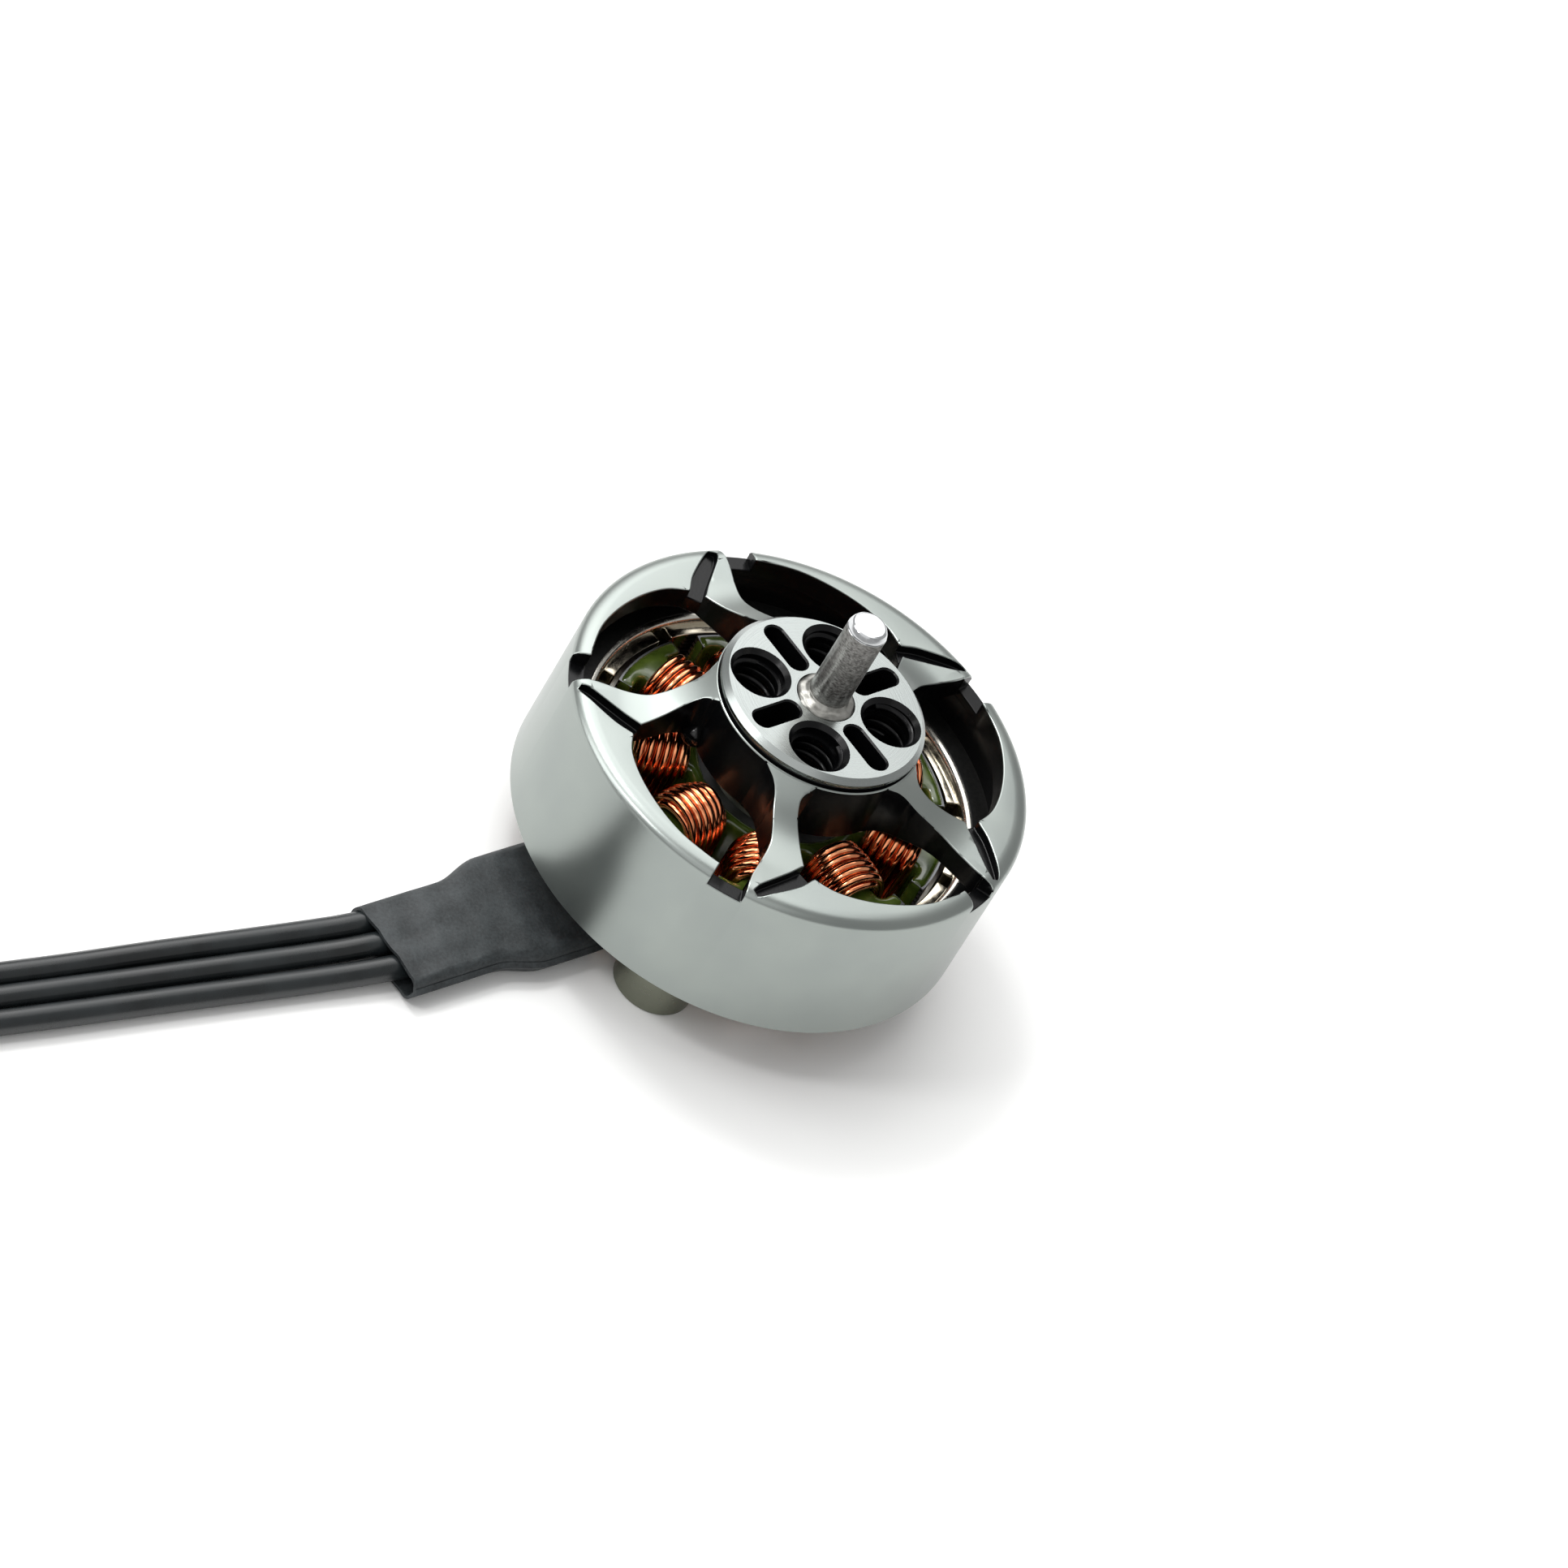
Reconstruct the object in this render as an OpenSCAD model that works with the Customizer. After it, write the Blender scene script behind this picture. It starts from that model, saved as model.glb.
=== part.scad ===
// Outrunner drone motor: a bell and shaft that spin on a fixed stator, base and leads.
// Millimetres. +Z runs along the shaft, and the origin is the centre of the mounting face.

/* [Bell] */

// Outside diameter of the bell
bell_d = 17.5; // [12:0.1:30]
// Height of the hub's flat face
hub_z = 10.45; // [8:0.05:20]
// Diameter of the hub plate
hub_d = 7.8; // [6:0.1:12]
// Height of the shoulder round the rim
rim_z = 8.5; // [6:0.05:18]
// Height where the arms leave the hub
arm_root_z = 9.9; // [7:0.05:19]
// Height of the plate's underside
plate_under_z = 7.55; // [5:0.05:16]
// Height of the skirt's lower edge
skirt_z = 2.42; // [1.8:0.01:5]
// Thickness of the skirt's wall
skirt_wall = 0.55; // [0.3:0.05:1.5]
// Number of arms
arm_count = 5; // [3:1:8]
// Height of the floor of the notches in the rim
notch_z = 7.9; // [5:0.05:17]
// Depth of the groove beside each arm
groove_depth = 0.35; // [0.1:0.05:0.8]
// Diameter of the circle of propeller screws
prop_circle_d = 5; // [4:0.1:9]
// Diameter of a screw hole
screw_d = 2; // [1.4:0.1:3]
// Length of the slots in the hub
hub_slot_l = 2.1; // [1:0.1:4]
// Width of the slots in the hub
hub_slot_w = 0.78; // [0.4:0.02:1.5]
// Angle at which the rotor rests
rotor_angle = 15.65; // [0:0.05:72]

/* [Shaft and bearings] */

// Diameter of the shaft
shaft_d = 1.5; // [1:0.1:5]
// Height of the shaft's tip
shaft_tip_z = 14.37; // [11:0.01:30]
// Outside diameter of a bearing
bearing_d = 4; // [3:0.1:10]
// Width of a bearing
bearing_w = 2; // [1:0.1:4]
// Balls in a bearing
ball_count = 7; // [6:1:10]
// Height of the lower bearing's underside
lower_bearing_z = 0.75; // [0.6:0.05:2]
// Height of the upper bearing's underside
upper_bearing_z = 4.75; // [3:0.05:12]

/* [Magnets and flux ring] */

// Number of magnets
magnet_count = 12; // [8:2:28]
// Thickness of a magnet
magnet_t = 0.68; // [0.4:0.02:2]
// Gap between neighbouring magnets
magnet_gap = 0.6; // [0.1:0.05:2]
// Height of the underside of the magnets
magnet_z = 2.6; // [2:0.05:5]
// Height of the top of the magnets
magnet_top_z = 5.99; // [3:0.01:14]
// Thickness of the flux ring
flux_wall = 0.75; // [0.4:0.05:2]
// Height of the flux ring's top
flux_top_z = 6.35; // [4:0.05:15]

/* [Stator] */

// Air gap between the stator and the magnets
air_gap = 0.19; // [0.1:0.01:0.5]
// Number of teeth
tooth_count = 9; // [6:3:24]
// Width of a tooth
tooth_w = 1.3; // [0.6:0.05:3]
// Width of the ring that joins the teeth
yoke_w = 0.795; // [0.4:0.005:2]
// Opening between two tooth tips
slot_opening = 1.2; // [0.4:0.05:2]
// Height of the laminations' underside
stack_z = 2.65; // [2:0.05:6]
// Height of the laminations' top
stack_top_z = 6.1; // [3:0.05:14]
// Thickness of the insulating coat
coat_t = 0.1; // [0.05:0.01:0.3]
// Thickness of the inner layers of copper
copper_t = 0.25; // [0.1:0.05:1]
// Diameter of the wire of the outer layer
wire_d = 0.16; // [0.1:0.01:0.6]
// Turns of the outer layer that cross the top of a tooth
wire_turns = 4; // [2:1:8]

/* [Base] */

// Diameter of the circle of mounting screws
mount_circle_d = 12; // [9:0.5:25]
// Width of a foot
foot_w = 3; // [2.4:0.1:6]
// Thickness of the feet
foot_t = 1.5; // [1:0.1:4]
// Diameter of the base's disc
disc_d = 8.8; // [7:0.1:16]
// Outside diameter of the bearing tube
tube_d = 5.2; // [4.4:0.1:12]

/* [Leads] */

// Diameter of a lead
lead_d = 0.92; // [0.6:0.02:3]
// Length of the sleeve
sleeve_l = 8.43; // [4:0.01:20]
// Width of the sleeve at the motor
sleeve_w = 4.95; // [3:0.05:12]
// Width of the sleeve at its far end
sleeve_end_w = 3.95; // [3:0.05:12]
// Height of the sleeve
sleeve_h = 1.24; // [0.8:0.02:4]
// Thickness of the sleeve's wall
sleeve_wall = 0.12; // [0.05:0.01:0.5]
// Distance between neighbouring turns of the coiled leads
coil_pitch = 1.36; // [1.2:0.02:4]
// Radius of the innermost coiled lead
coil_r = 4.38; // [3:0.02:12]

/* [Hidden] */

$fa = 6;
$fs = 0.2;
overrun = bell_d / 50;

bell_r = bell_d / 2;
cavity_r = bell_r - skirt_wall;
hub_r = hub_d / 2;
hub_chamfer = hub_d / 39;
undercut = hub_d / 52;
boss_r = shaft_d * 0.87;
boss_z = upper_bearing_z + bearing_w + shim_t();
screw_chamfer = screw_d / 12;

shaft_r = shaft_d / 2;
shaft_foot_z = lower_bearing_z / 7;
tip_chamfer = shaft_d / 10;
clip_t = shaft_d * 0.13;
clip_z = lower_bearing_z - 2 * clip_t;
clip_depth = shaft_d / 10;
clip_r = shaft_d * 0.9;
clip_opening = 60;
shaft_mouth = shaft_d / 4;
bead_h = shaft_d / 5;
bead_rim = shaft_mouth * 0.96;
bead_neck_r = shaft_r * 0.78;
bead_foot_z = hub_z - shaft_mouth;
bead_top_z = hub_z + bead_h;

bearing_r = bearing_d / 2;
ball_circle_r = bearing_d * 0.344;
ball_r = bearing_d * 0.095;
ball_play = bearing_d / 100;
race_inner_r = bearing_d * 0.27;
race_outer_r = bearing_d * 0.4175;
shield_t = bearing_w * 0.06;
shield_play = bearing_d / 40;
cage_wall = bearing_d / 23;

flux_r = cavity_r - flux_wall;
magnet_r = flux_r - magnet_t;
magnet_span = 360 / magnet_count - magnet_gap / flux_r * 180 / PI;
flux_lip = flux_wall / 3;
glue_t = magnet_t / 3;

stator_r = magnet_r - air_gap;
core_bore_r = tube_d / 2;
core_ring_r = core_bore_r + yoke_w;
tip_root_r = stator_r * 0.92;
tip_span = 360 / tooth_count - slot_opening / stator_r * 180 / PI;
seat_r = core_bore_r + yoke_w / 2;
coil_start = core_ring_r + coat_t + wire_d / 6;
copper_half_w = tooth_w / 2 + coat_t + copper_t;
copper_z = stack_z - coat_t - copper_t;
copper_top_z = stack_top_z + coat_t + copper_t;
wire_half_w = copper_half_w + wire_d / 2;
copper_start = coil_start - wire_d / 2;
copper_end = sqrt(pow(tip_root_r - coat_t, 2) - pow(wire_half_w + wire_d / 2, 2));
wire_pitch = (copper_end - copper_start - wire_d) / (wire_turns - 1 / 3);
wire_half_h = (copper_top_z - copper_z) / 2 + wire_d / 2;
wire_mid_z = (copper_top_z + copper_z) / 2;
wire_corner = wire_d * 0.6;
wire_stops = 12;
crossover_t = foot_t / 6;
crossover_w = wire_d * 2;
inner_crossover_r = norm([coil_start, wire_half_w]);
outer_crossover_r = norm([coil_start + wire_pitch * (wire_turns - 1 / 3), wire_half_w]);

// The sleeve runs from the motor along its heading, and the leads lie side by side in it.
sleeve_heading = 194.5;
sleeve_start = [-bell_r * 0.7737, -bell_r * 0.0777, sleeve_h / 2];
along = [cos(sleeve_heading), sin(sleeve_heading), 0];
joint_l = lead_d * 1.75;
joint_r = lead_d * 0.45;
tail_d = lead_d / 3;
tail_angles = [168, 180, 192];

// The coil of each lead turns clockwise about this point, from this angle on.
coil_centre = [-40, 1.2, 0.7];
coil_entry = 275;
coil_turns = [758, 579, 468];
coil_step = 15;
climb_start = 235;
climb_span = 60;
tie_t = 0.2;
tie_w = 1.4;
tie_play = 0.1;
tinned_l = 2;
tinned_r = 0.3;

// Where each lead goes from its solder joint to its coil.
lead_a_route = [
    [-10, -0.1, 0.62],
    [-12.6, -0.8, 0.62],
    [-15.3, -1.45, 0.6],
    [-18.5, -1.75, 0.5],
    [-23.5, -2.2, 0.5],
    [-28.5, -2.7, 0.5],
    [-34, -3.05, 0.5]
];
lead_b_route = [
    [-9.7, -1.3, 0.62],
    [-12.6, -1.95, 0.62],
    [-15.7, -2.5, 0.6],
    [-18.5, -2.75, 0.5],
    [-23.5, -3.2, 0.5],
    [-28.5, -3.65, 0.5],
    [-34, -4.1, 0.5]
];
lead_c_route = [
    [-9.4, -2.5, 0.62],
    [-12.6, -3.1, 0.62],
    [-15.3, -3.52, 0.6],
    [-18.5, -3.8, 0.5],
    [-23.5, -4.22, 0.5],
    [-28.5, -4.67, 0.5],
    [-34, -5.12, 0.5]
];
lead_routes = [lead_a_route, lead_b_route, lead_c_route];
coil_radii = [for (k = [0:2]) coil_r + k * coil_pitch];

// Edges of the bell's windows, as shares of the bell's radius and angles from the arm.
trailing_edge_shares = [
    [0.44, 15], [0.466, 11.2], [0.487, 8.6], [0.514, 8], [0.571, 9.4], [0.64, 11.9], [0.743, 14.8]
];
lip_edge_shares = [
    [0.794, 18.3], [0.839, 24.8], [0.871, 33.5], [0.898, 43.1], [0.92, 52.5], [0.929, 62]
];
leading_edge_shares = [
    [0.44, -20], [0.463, -12.5], [0.48, -8.5], [0.511, -4.9], [0.566, -1.9], [0.629, 0.8],
    [0.697, 2.2], [0.789, 1.5], [0.88, 0.5], [0.929, 0.4]
];
groove_inner_shares = [
    [0.735, 16.5], [0.75, 14.3], [0.8, 10.6], [0.869, 6.2], [0.926, 3.3], [0.966, 2.2]
];
groove_outer_shares = [
    [0.982, 3.6], [0.966, 5.3], [0.906, 9.8], [0.851, 14.2], [0.8, 17.6], [0.78, 20]
];
window_r = bell_r * 0.929;
notch_start = 64;
notch_end = 73;

function shim_t() = shaft_d / 10;

// Smooth curves and swept tubes

function clamped(list, i) = list[max(0, min(len(list) - 1, i))];

function curve_point(p, i, u) =
    let (a = clamped(p, i - 1), b = p[i], c = clamped(p, i + 1), d = clamped(p, i + 2))
    (2 * b + (c - a) * u + (2 * a - 5 * b + 4 * c - d) * u * u
        + (3 * b - 3 * c + d - a) * u * u * u) / 2;

function curve(p, steps) = concat(
    [for (i = [0:len(p) - 2], k = [0:steps - 1]) curve_point(p, i, k / steps)],
    [p[len(p) - 1]]
);

function unit(v) = v / norm(v);

function heading_at(path, i) = unit(clamped(path, i + 1) - clamped(path, i - 1));

function ring(path, i, r, sides, up) =
    let (t = heading_at(path, i), u = unit(cross(up, t)), v = cross(t, u))
    [for (k = [0:sides - 1]) path[i] + r * (cos(360 * k / sides) * u + sin(360 * k / sides) * v)];

module skin(rings) {
    sides = len(rings[0]);
    last = (len(rings) - 1) * sides;
    walls = [
        for (i = [0:len(rings) - 2], k = [0:sides - 1])
            let (a = i * sides + k, b = i * sides + (k + 1) % sides)
            each [[a, a + sides, b + sides], [a, b + sides, b]]
    ];
    start_cap = [for (k = [1:sides - 2]) [0, k, k + 1]];
    end_cap = [for (k = [1:sides - 2]) [last, last + k + 1, last + k]];
    polyhedron(points = [for (r = rings) each r], faces = concat(walls, start_cap, end_cap));
}

module tube(path, r, sides, up) {
    skin([for (i = [0:len(path) - 1]) ring(path, i, r, sides, up)]);
}

// The least gap between stretches of a path that lie more than the given stops apart.
function least_gap(path, d, apart) = min([
    for (i = [0:len(path) - 1 - apart], k = [i + apart:len(path) - 1]) norm(path[i] - path[k])
]) - d;

module washer(inner_r, outer_r, z, top_z) {
    rotate_extrude()
        translate([inner_r, z])
            square([outer_r - inner_r, top_z - z]);
}

// Bell

function arm_top(r) =
    let (foot_r = bell_r * 0.823, root_r = bell_r * 0.446)
    rim_z + (arm_root_z - rim_z) * pow(max(0, (foot_r - r) / (foot_r - root_r)), 2.2);

function on_bell(shares, turn = 0) = [
    for (p = shares) bell_r * p[0] * [cos(p[1] + turn), sin(p[1] + turn)]
];

module bell_shell() {
    inner_r = bell_r * 0.35;
    root_r = bell_r * 0.446;
    foot_r = bell_r * 0.823;
    round_r = bell_r * 0.0715;
    round_h = bell_r * 0.0435;
    edge = skirt_wall / 5;
    top = [for (k = [0:7]) let (r = root_r + (foot_r - root_r) * k / 7) [r, arm_top(r)]];
    shoulder = [
        for (a = [90:-15:0])
            [bell_r - round_r + round_r * cos(a), rim_z - round_h + round_h * sin(a)]
    ];
    rotate_extrude()
        polygon(concat(
            [[inner_r, plate_under_z], [inner_r, arm_root_z]],
            top,
            shoulder,
            [
                [bell_r, skirt_z + edge],
                [bell_r - edge, skirt_z],
                [cavity_r, skirt_z],
                [cavity_r, plate_under_z]
            ]
        ));
}

module window() {
    turn = 360 / arm_count;
    leading = on_bell(leading_edge_shares, turn);
    outline = concat(
        curve(on_bell(trailing_edge_shares), 2),
        curve(on_bell(lip_edge_shares), 2),
        [for (a = [notch_start:3:notch_end - 3]) window_r * [cos(a), sin(a)]],
        [for (p = curve([for (k = [len(leading) - 1:-1:0]) leading[k]], 2)) p]
    );
    translate([0, 0, plate_under_z - overrun])
        linear_extrude(arm_root_z - plate_under_z + 2 * overrun)
            polygon(outline);
}

module notch() {
    inner = cavity_r - overrun;
    outer = bell_r + overrun;
    translate([0, 0, notch_z])
        linear_extrude(rim_z - notch_z + overrun)
            polygon(concat(
                [for (a = [notch_start:1.5:notch_end]) outer * [cos(a), sin(a)]],
                [for (a = [notch_end - 1:-1.5:notch_start]) inner * [cos(a), sin(a)]]
            ));
}

module groove() {
    translate([0, 0, rim_z - groove_depth])
        linear_extrude(arm_root_z - rim_z)
            polygon(concat(
                curve(on_bell(groove_inner_shares), 2),
                curve(on_bell(groove_outer_shares), 2)
            ));
}

module hub() {
    core_r = bell_r * 0.4515;
    neck_z = arm_root_z + undercut / 2;
    rotate_extrude()
        polygon([
            [0, boss_z],
            [boss_r, boss_z],
            [boss_r, plate_under_z],
            [core_r, plate_under_z],
            [core_r, arm_root_z],
            [hub_r - undercut, neck_z],
            [hub_r - undercut, neck_z + undercut / 2],
            [hub_r, neck_z + undercut],
            [hub_r, hub_z - hub_chamfer],
            [hub_r - hub_chamfer, hub_z],
            [0, hub_z]
        ]);
}

module screw_hole(r, z, top_z) {
    translate([0, 0, z - overrun])
        cylinder(r = r, h = top_z - z + 2 * overrun);
    translate([0, 0, top_z - screw_chamfer])
        cylinder(r1 = r, r2 = r + 2 * screw_chamfer, h = 2 * screw_chamfer);
}

module hub_slot() {
    middle = prop_circle_d * 0.48;
    straight = hub_slot_l - hub_slot_w;
    depth = hub_z - boss_z + 2 * overrun;
    translate([middle, 0, boss_z - overrun]) {
        translate([-straight / 2, -hub_slot_w / 2, 0])
            cube([straight, hub_slot_w, depth]);
        for (side = [-1, 1])
            translate([side * straight / 2, 0, 0])
                cylinder(d = hub_slot_w, h = depth);
    }
}

module shaft_hole() {
    translate([0, 0, boss_z - overrun])
        cylinder(r = shaft_r, h = hub_z - boss_z + 2 * overrun);
    translate([0, 0, hub_z - shaft_mouth])
        cylinder(r1 = shaft_r, r2 = shaft_r + 2 * shaft_mouth, h = 2 * shaft_mouth);
}

module bell() {
    color([0.74, 0.76, 0.75])
        rotate(rotor_angle)
            difference() {
                union() {
                    difference() {
                        bell_shell();
                        for (k = [0:arm_count - 1])
                            rotate(k * 360 / arm_count) {
                                window();
                                notch();
                                groove();
                            }
                    }
                    hub();
                }
                for (k = [0:3]) {
                    rotate(45 + 90 * k)
                        translate([prop_circle_d / 2, 0, 0])
                            screw_hole(screw_d / 2, plate_under_z, hub_z);
                    rotate(90 * k)
                        hub_slot();
                }
                shaft_hole();
            }
}

// Flux ring, magnets and glue

module flux_ring() {
    edge = flux_wall / 8;
    color([0.5, 0.5, 0.5])
        rotate_extrude()
            polygon([
                [flux_r, skirt_z],
                [cavity_r - edge, skirt_z],
                [cavity_r, skirt_z + edge],
                [cavity_r, flux_top_z],
                [flux_r - flux_lip + edge / 2, flux_top_z],
                [flux_r - flux_lip, flux_top_z - edge / 2],
                [flux_r - flux_lip, magnet_top_z],
                [flux_r, magnet_top_z]
            ]);
}

module arc_block(inner_r, outer_r, z, top_z, middle, span) {
    rotate(middle - span / 2)
        rotate_extrude(angle = span)
            translate([inner_r, z])
                square([outer_r - inner_r, top_z - z]);
}

module magnets() {
    pitch = 360 / magnet_count;
    color([0.72, 0.7, 0.66])
        for (k = [0:magnet_count - 1])
            arc_block(magnet_r, flux_r, magnet_z, magnet_top_z,
                rotor_angle + pitch * (k + 0.5), magnet_span);
}

module magnet_adhesive() {
    pitch = 360 / magnet_count;
    color([0.3, 0.28, 0.22])
        for (k = [0:magnet_count - 1])
            arc_block(flux_r - glue_t, flux_r, magnet_z, magnet_top_z,
                rotor_angle + pitch * k, pitch - magnet_span);
}

// Shaft, clip and shims

module shaft() {
    color([0.8, 0.8, 0.8])
        rotate_extrude()
            polygon([
                [0, shaft_foot_z],
                [shaft_r - tip_chamfer, shaft_foot_z],
                [shaft_r, shaft_foot_z + tip_chamfer],
                [shaft_r, clip_z],
                [shaft_r - clip_depth, clip_z],
                [shaft_r - clip_depth, clip_z + clip_t],
                [shaft_r, clip_z + clip_t],
                [shaft_r, bead_foot_z],
                [bead_neck_r, bead_foot_z],
                [bead_neck_r, bead_top_z],
                [shaft_r, bead_top_z],
                [shaft_r, shaft_tip_z - tip_chamfer],
                [shaft_r - tip_chamfer, shaft_tip_z],
                [0, shaft_tip_z]
            ]);
}

// The bead fills the shaft's neck and the hub's mouth, and so locks the two together.
module shaft_bead() {
    rim_z = bead_foot_z + bead_rim;
    dome = [
        for (a = [90:-15:0]) [shaft_r + bead_rim * cos(a), rim_z + (bead_top_z - rim_z) * sin(a)]
    ];
    color([0.8, 0.8, 0.79])
        rotate_extrude()
            polygon(concat([[bead_neck_r, bead_foot_z], [bead_neck_r, bead_top_z]], dome,
                [[shaft_r, bead_foot_z]]));
}

module retaining_clip() {
    color([0.35, 0.35, 0.37])
        arc_block(shaft_r - clip_depth, clip_r, clip_z, clip_z + clip_t,
            rotor_angle, 360 - clip_opening);
}

module lower_shim() {
    color([0.8, 0.7, 0.4])
        washer(shaft_r, race_inner_r, clip_z + clip_t, lower_bearing_z);
}

module upper_shim() {
    color([0.8, 0.7, 0.4])
        washer(shaft_r, race_inner_r, upper_bearing_z + bearing_w, boss_z);
}

// Bearings, drawn with their underside at z

module ball_track(z) {
    rotate_extrude()
        translate([ball_circle_r, z + bearing_w / 2])
            circle(r = ball_r + ball_play);
}

module inner_race(z) {
    color([0.75, 0.76, 0.78])
        difference() {
            washer(shaft_r, race_inner_r, z, z + bearing_w);
            ball_track(z);
        }
}

module outer_race(z) {
    color([0.75, 0.76, 0.78])
        difference() {
            washer(race_outer_r, bearing_r, z, z + bearing_w);
            ball_track(z);
        }
}

module balls(z) {
    color([0.85, 0.86, 0.88])
        for (k = [0:ball_count - 1])
            rotate(k * 360 / ball_count)
                translate([ball_circle_r, 0, z + bearing_w / 2])
                    sphere(r = ball_r);
}

module cage(z) {
    middle_z = z + bearing_w / 2;
    color([0.7, 0.6, 0.35])
        difference() {
            washer(ball_circle_r - cage_wall, ball_circle_r + cage_wall,
                middle_z + ball_r / 4, middle_z + ball_r * 1.7);
            for (k = [0:ball_count - 1])
                rotate(k * 360 / ball_count)
                    translate([ball_circle_r, 0, middle_z])
                        sphere(r = ball_r + ball_play);
        }
}

module shields(z) {
    color([0.6, 0.6, 0.62]) {
        washer(race_inner_r + shield_play, race_outer_r, z, z + shield_t);
        washer(race_inner_r + shield_play, race_outer_r, z + bearing_w - shield_t, z + bearing_w);
    }
}

// Base

module base() {
    shoulder_r = race_outer_r;
    color([0.76, 0.76, 0.76])
        difference() {
            union() {
                cylinder(d = disc_d, h = foot_t);
                cylinder(r = seat_r, h = stack_z);
                cylinder(d = tube_d, h = upper_bearing_z + bearing_w);
                for (k = [0:3])
                    rotate(45 + 90 * k) {
                        translate([0, -foot_w / 2, 0])
                            cube([mount_circle_d / 2, foot_w, foot_t]);
                        translate([mount_circle_d / 2, 0, 0])
                            cylinder(d = foot_w, h = foot_t);
                    }
            }
            for (k = [0:3])
                rotate(45 + 90 * k)
                    translate([mount_circle_d / 2, 0, -overrun])
                        cylinder(d = screw_d, h = foot_t + 2 * overrun);
            translate([0, 0, -overrun])
                cylinder(r = bearing_r, h = lower_bearing_z + bearing_w + overrun);
            cylinder(r = shoulder_r, h = upper_bearing_z + overrun);
            translate([0, 0, upper_bearing_z])
                cylinder(r = bearing_r, h = bearing_w + overrun);
        }
}

// Stator

module stator_outline(ring_in, grow) {
    inner_tip = tip_root_r - grow;
    difference() {
        union() {
            circle(r = core_ring_r + grow);
            for (k = [0:tooth_count - 1])
                rotate(k * 360 / tooth_count)
                    translate([0, -tooth_w / 2 - grow])
                        square([inner_tip + grow + overrun, tooth_w + 2 * grow]);
        }
        circle(r = ring_in);
    }
    for (k = [0:tooth_count - 1])
        rotate(k * 360 / tooth_count)
            tooth_tip(inner_tip, tip_span / 2 + grow / stator_r * 180 / PI);
}

module tooth_tip(inner_r, half_span) {
    steps = 5;
    polygon(concat(
        [for (i = [-steps:steps]) stator_r * [cos(half_span * i / steps), sin(half_span * i / steps)]],
        [for (i = [steps:-1:-steps]) inner_r * [cos(half_span * i / steps), sin(half_span * i / steps)]]
    ));
}

module stator_core() {
    color([0.42, 0.43, 0.45])
        translate([0, 0, stack_z])
            linear_extrude(stack_top_z - stack_z)
                stator_outline(core_bore_r, 0);
}

module stator_coat() {
    color([0.33, 0.36, 0.16])
        difference() {
            translate([0, 0, stack_z - coat_t])
                linear_extrude(stack_top_z - stack_z + 2 * coat_t)
                    stator_outline(seat_r, coat_t);
            translate([0, 0, stack_z])
                linear_extrude(stack_top_z - stack_z)
                    stator_outline(core_bore_r, 0);
        }
}

module inner_windings() {
    tooth_half_w = tooth_w / 2 + coat_t;
    color([0.72, 0.38, 0.15])
        for (k = [0:tooth_count - 1])
            rotate(k * 360 / tooth_count)
                difference() {
                    translate([copper_start, -copper_half_w, copper_z])
                        cube([copper_end - copper_start, 2 * copper_half_w, copper_top_z - copper_z]);
                    translate([copper_start - overrun, -tooth_half_w, stack_z - coat_t])
                        cube([
                            copper_end - copper_start + 2 * overrun,
                            2 * tooth_half_w,
                            stack_top_z - stack_z + 2 * coat_t
                        ]);
                }
}

// One turn of wire round a tooth passes twelve stops, from the middle of one side.
function wire_stop(j) =
    let (w = wire_half_w, h = wire_half_h, c = wire_corner)
    [
        [w, 0], [w, h - c], [w - c, h], [0, h], [c - w, h], [-w, h - c],
        [-w, 0], [-w, c - h], [c - w, -h], [0, -h], [w - c, -h], [w, c - h]
    ][(j + wire_stops) % wire_stops];

function wire_point(i) =
    let (s = wire_stop(i))
    [coil_start + wire_pitch * (i + 1) / wire_stops, s[0], wire_mid_z + s[1]];

wire_last_stop = wire_stops * (wire_turns - 1) + 7;
crossover_top_z = foot_t + crossover_t;
wire_path = concat(
    [[coil_start, wire_half_w, crossover_top_z]],
    [[coil_start, wire_half_w, crossover_top_z + wire_d]],
    [for (i = [-1:wire_last_stop]) wire_point(i)],
    [[wire_point(wire_last_stop)[0], -wire_half_w, crossover_top_z + wire_d]],
    [[wire_point(wire_last_stop)[0], -wire_half_w, crossover_top_z]]
);

module windings(first_tooth) {
    color([0.82, 0.42, 0.16])
        for (k = [first_tooth:3:tooth_count - 1])
            rotate(k * 360 / tooth_count)
                tube(wire_path, wire_d / 2, 6, [1, 0, 0]);
}

module crossover_wires() {
    half_w = crossover_w / 2;
    color([0.75, 0.38, 0.14]) {
        washer(inner_crossover_r - half_w, inner_crossover_r + half_w, foot_t, crossover_top_z);
        washer(outer_crossover_r - half_w, outer_crossover_r + half_w, foot_t, crossover_top_z);
    }
}

// Tails, solder joints, sleeve and leads

function joint_start(k) = lead_routes[k][0] - joint_l * along;

function tail_path(k) =
    let (
        out = [cos(tail_angles[k]), sin(tail_angles[k]), 0],
        ring_r = outer_crossover_r + crossover_w / 2 - tail_d / 8,
        start = ring_r * out + [0, 0, foot_t + crossover_t / 2],
        end = joint_start(k),
        mouth = end - ((end - sleeve_start) * along) * along
    )
    concat(
        [start],
        curve([start + tail_d / 2 * out, mouth, end - tail_d * along], 3),
        [end]
    );

module winding_tails() {
    color([0.75, 0.4, 0.16])
        for (k = [0:2])
            tube(tail_path(k), tail_d / 2, 6, [0, 0, 1]);
}

module solder_joints() {
    color([0.7, 0.7, 0.7])
        for (k = [0:2])
            translate(joint_start(k))
                rotate([0, 90, sleeve_heading])
                    cylinder(r = joint_r, h = joint_l);
}

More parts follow.
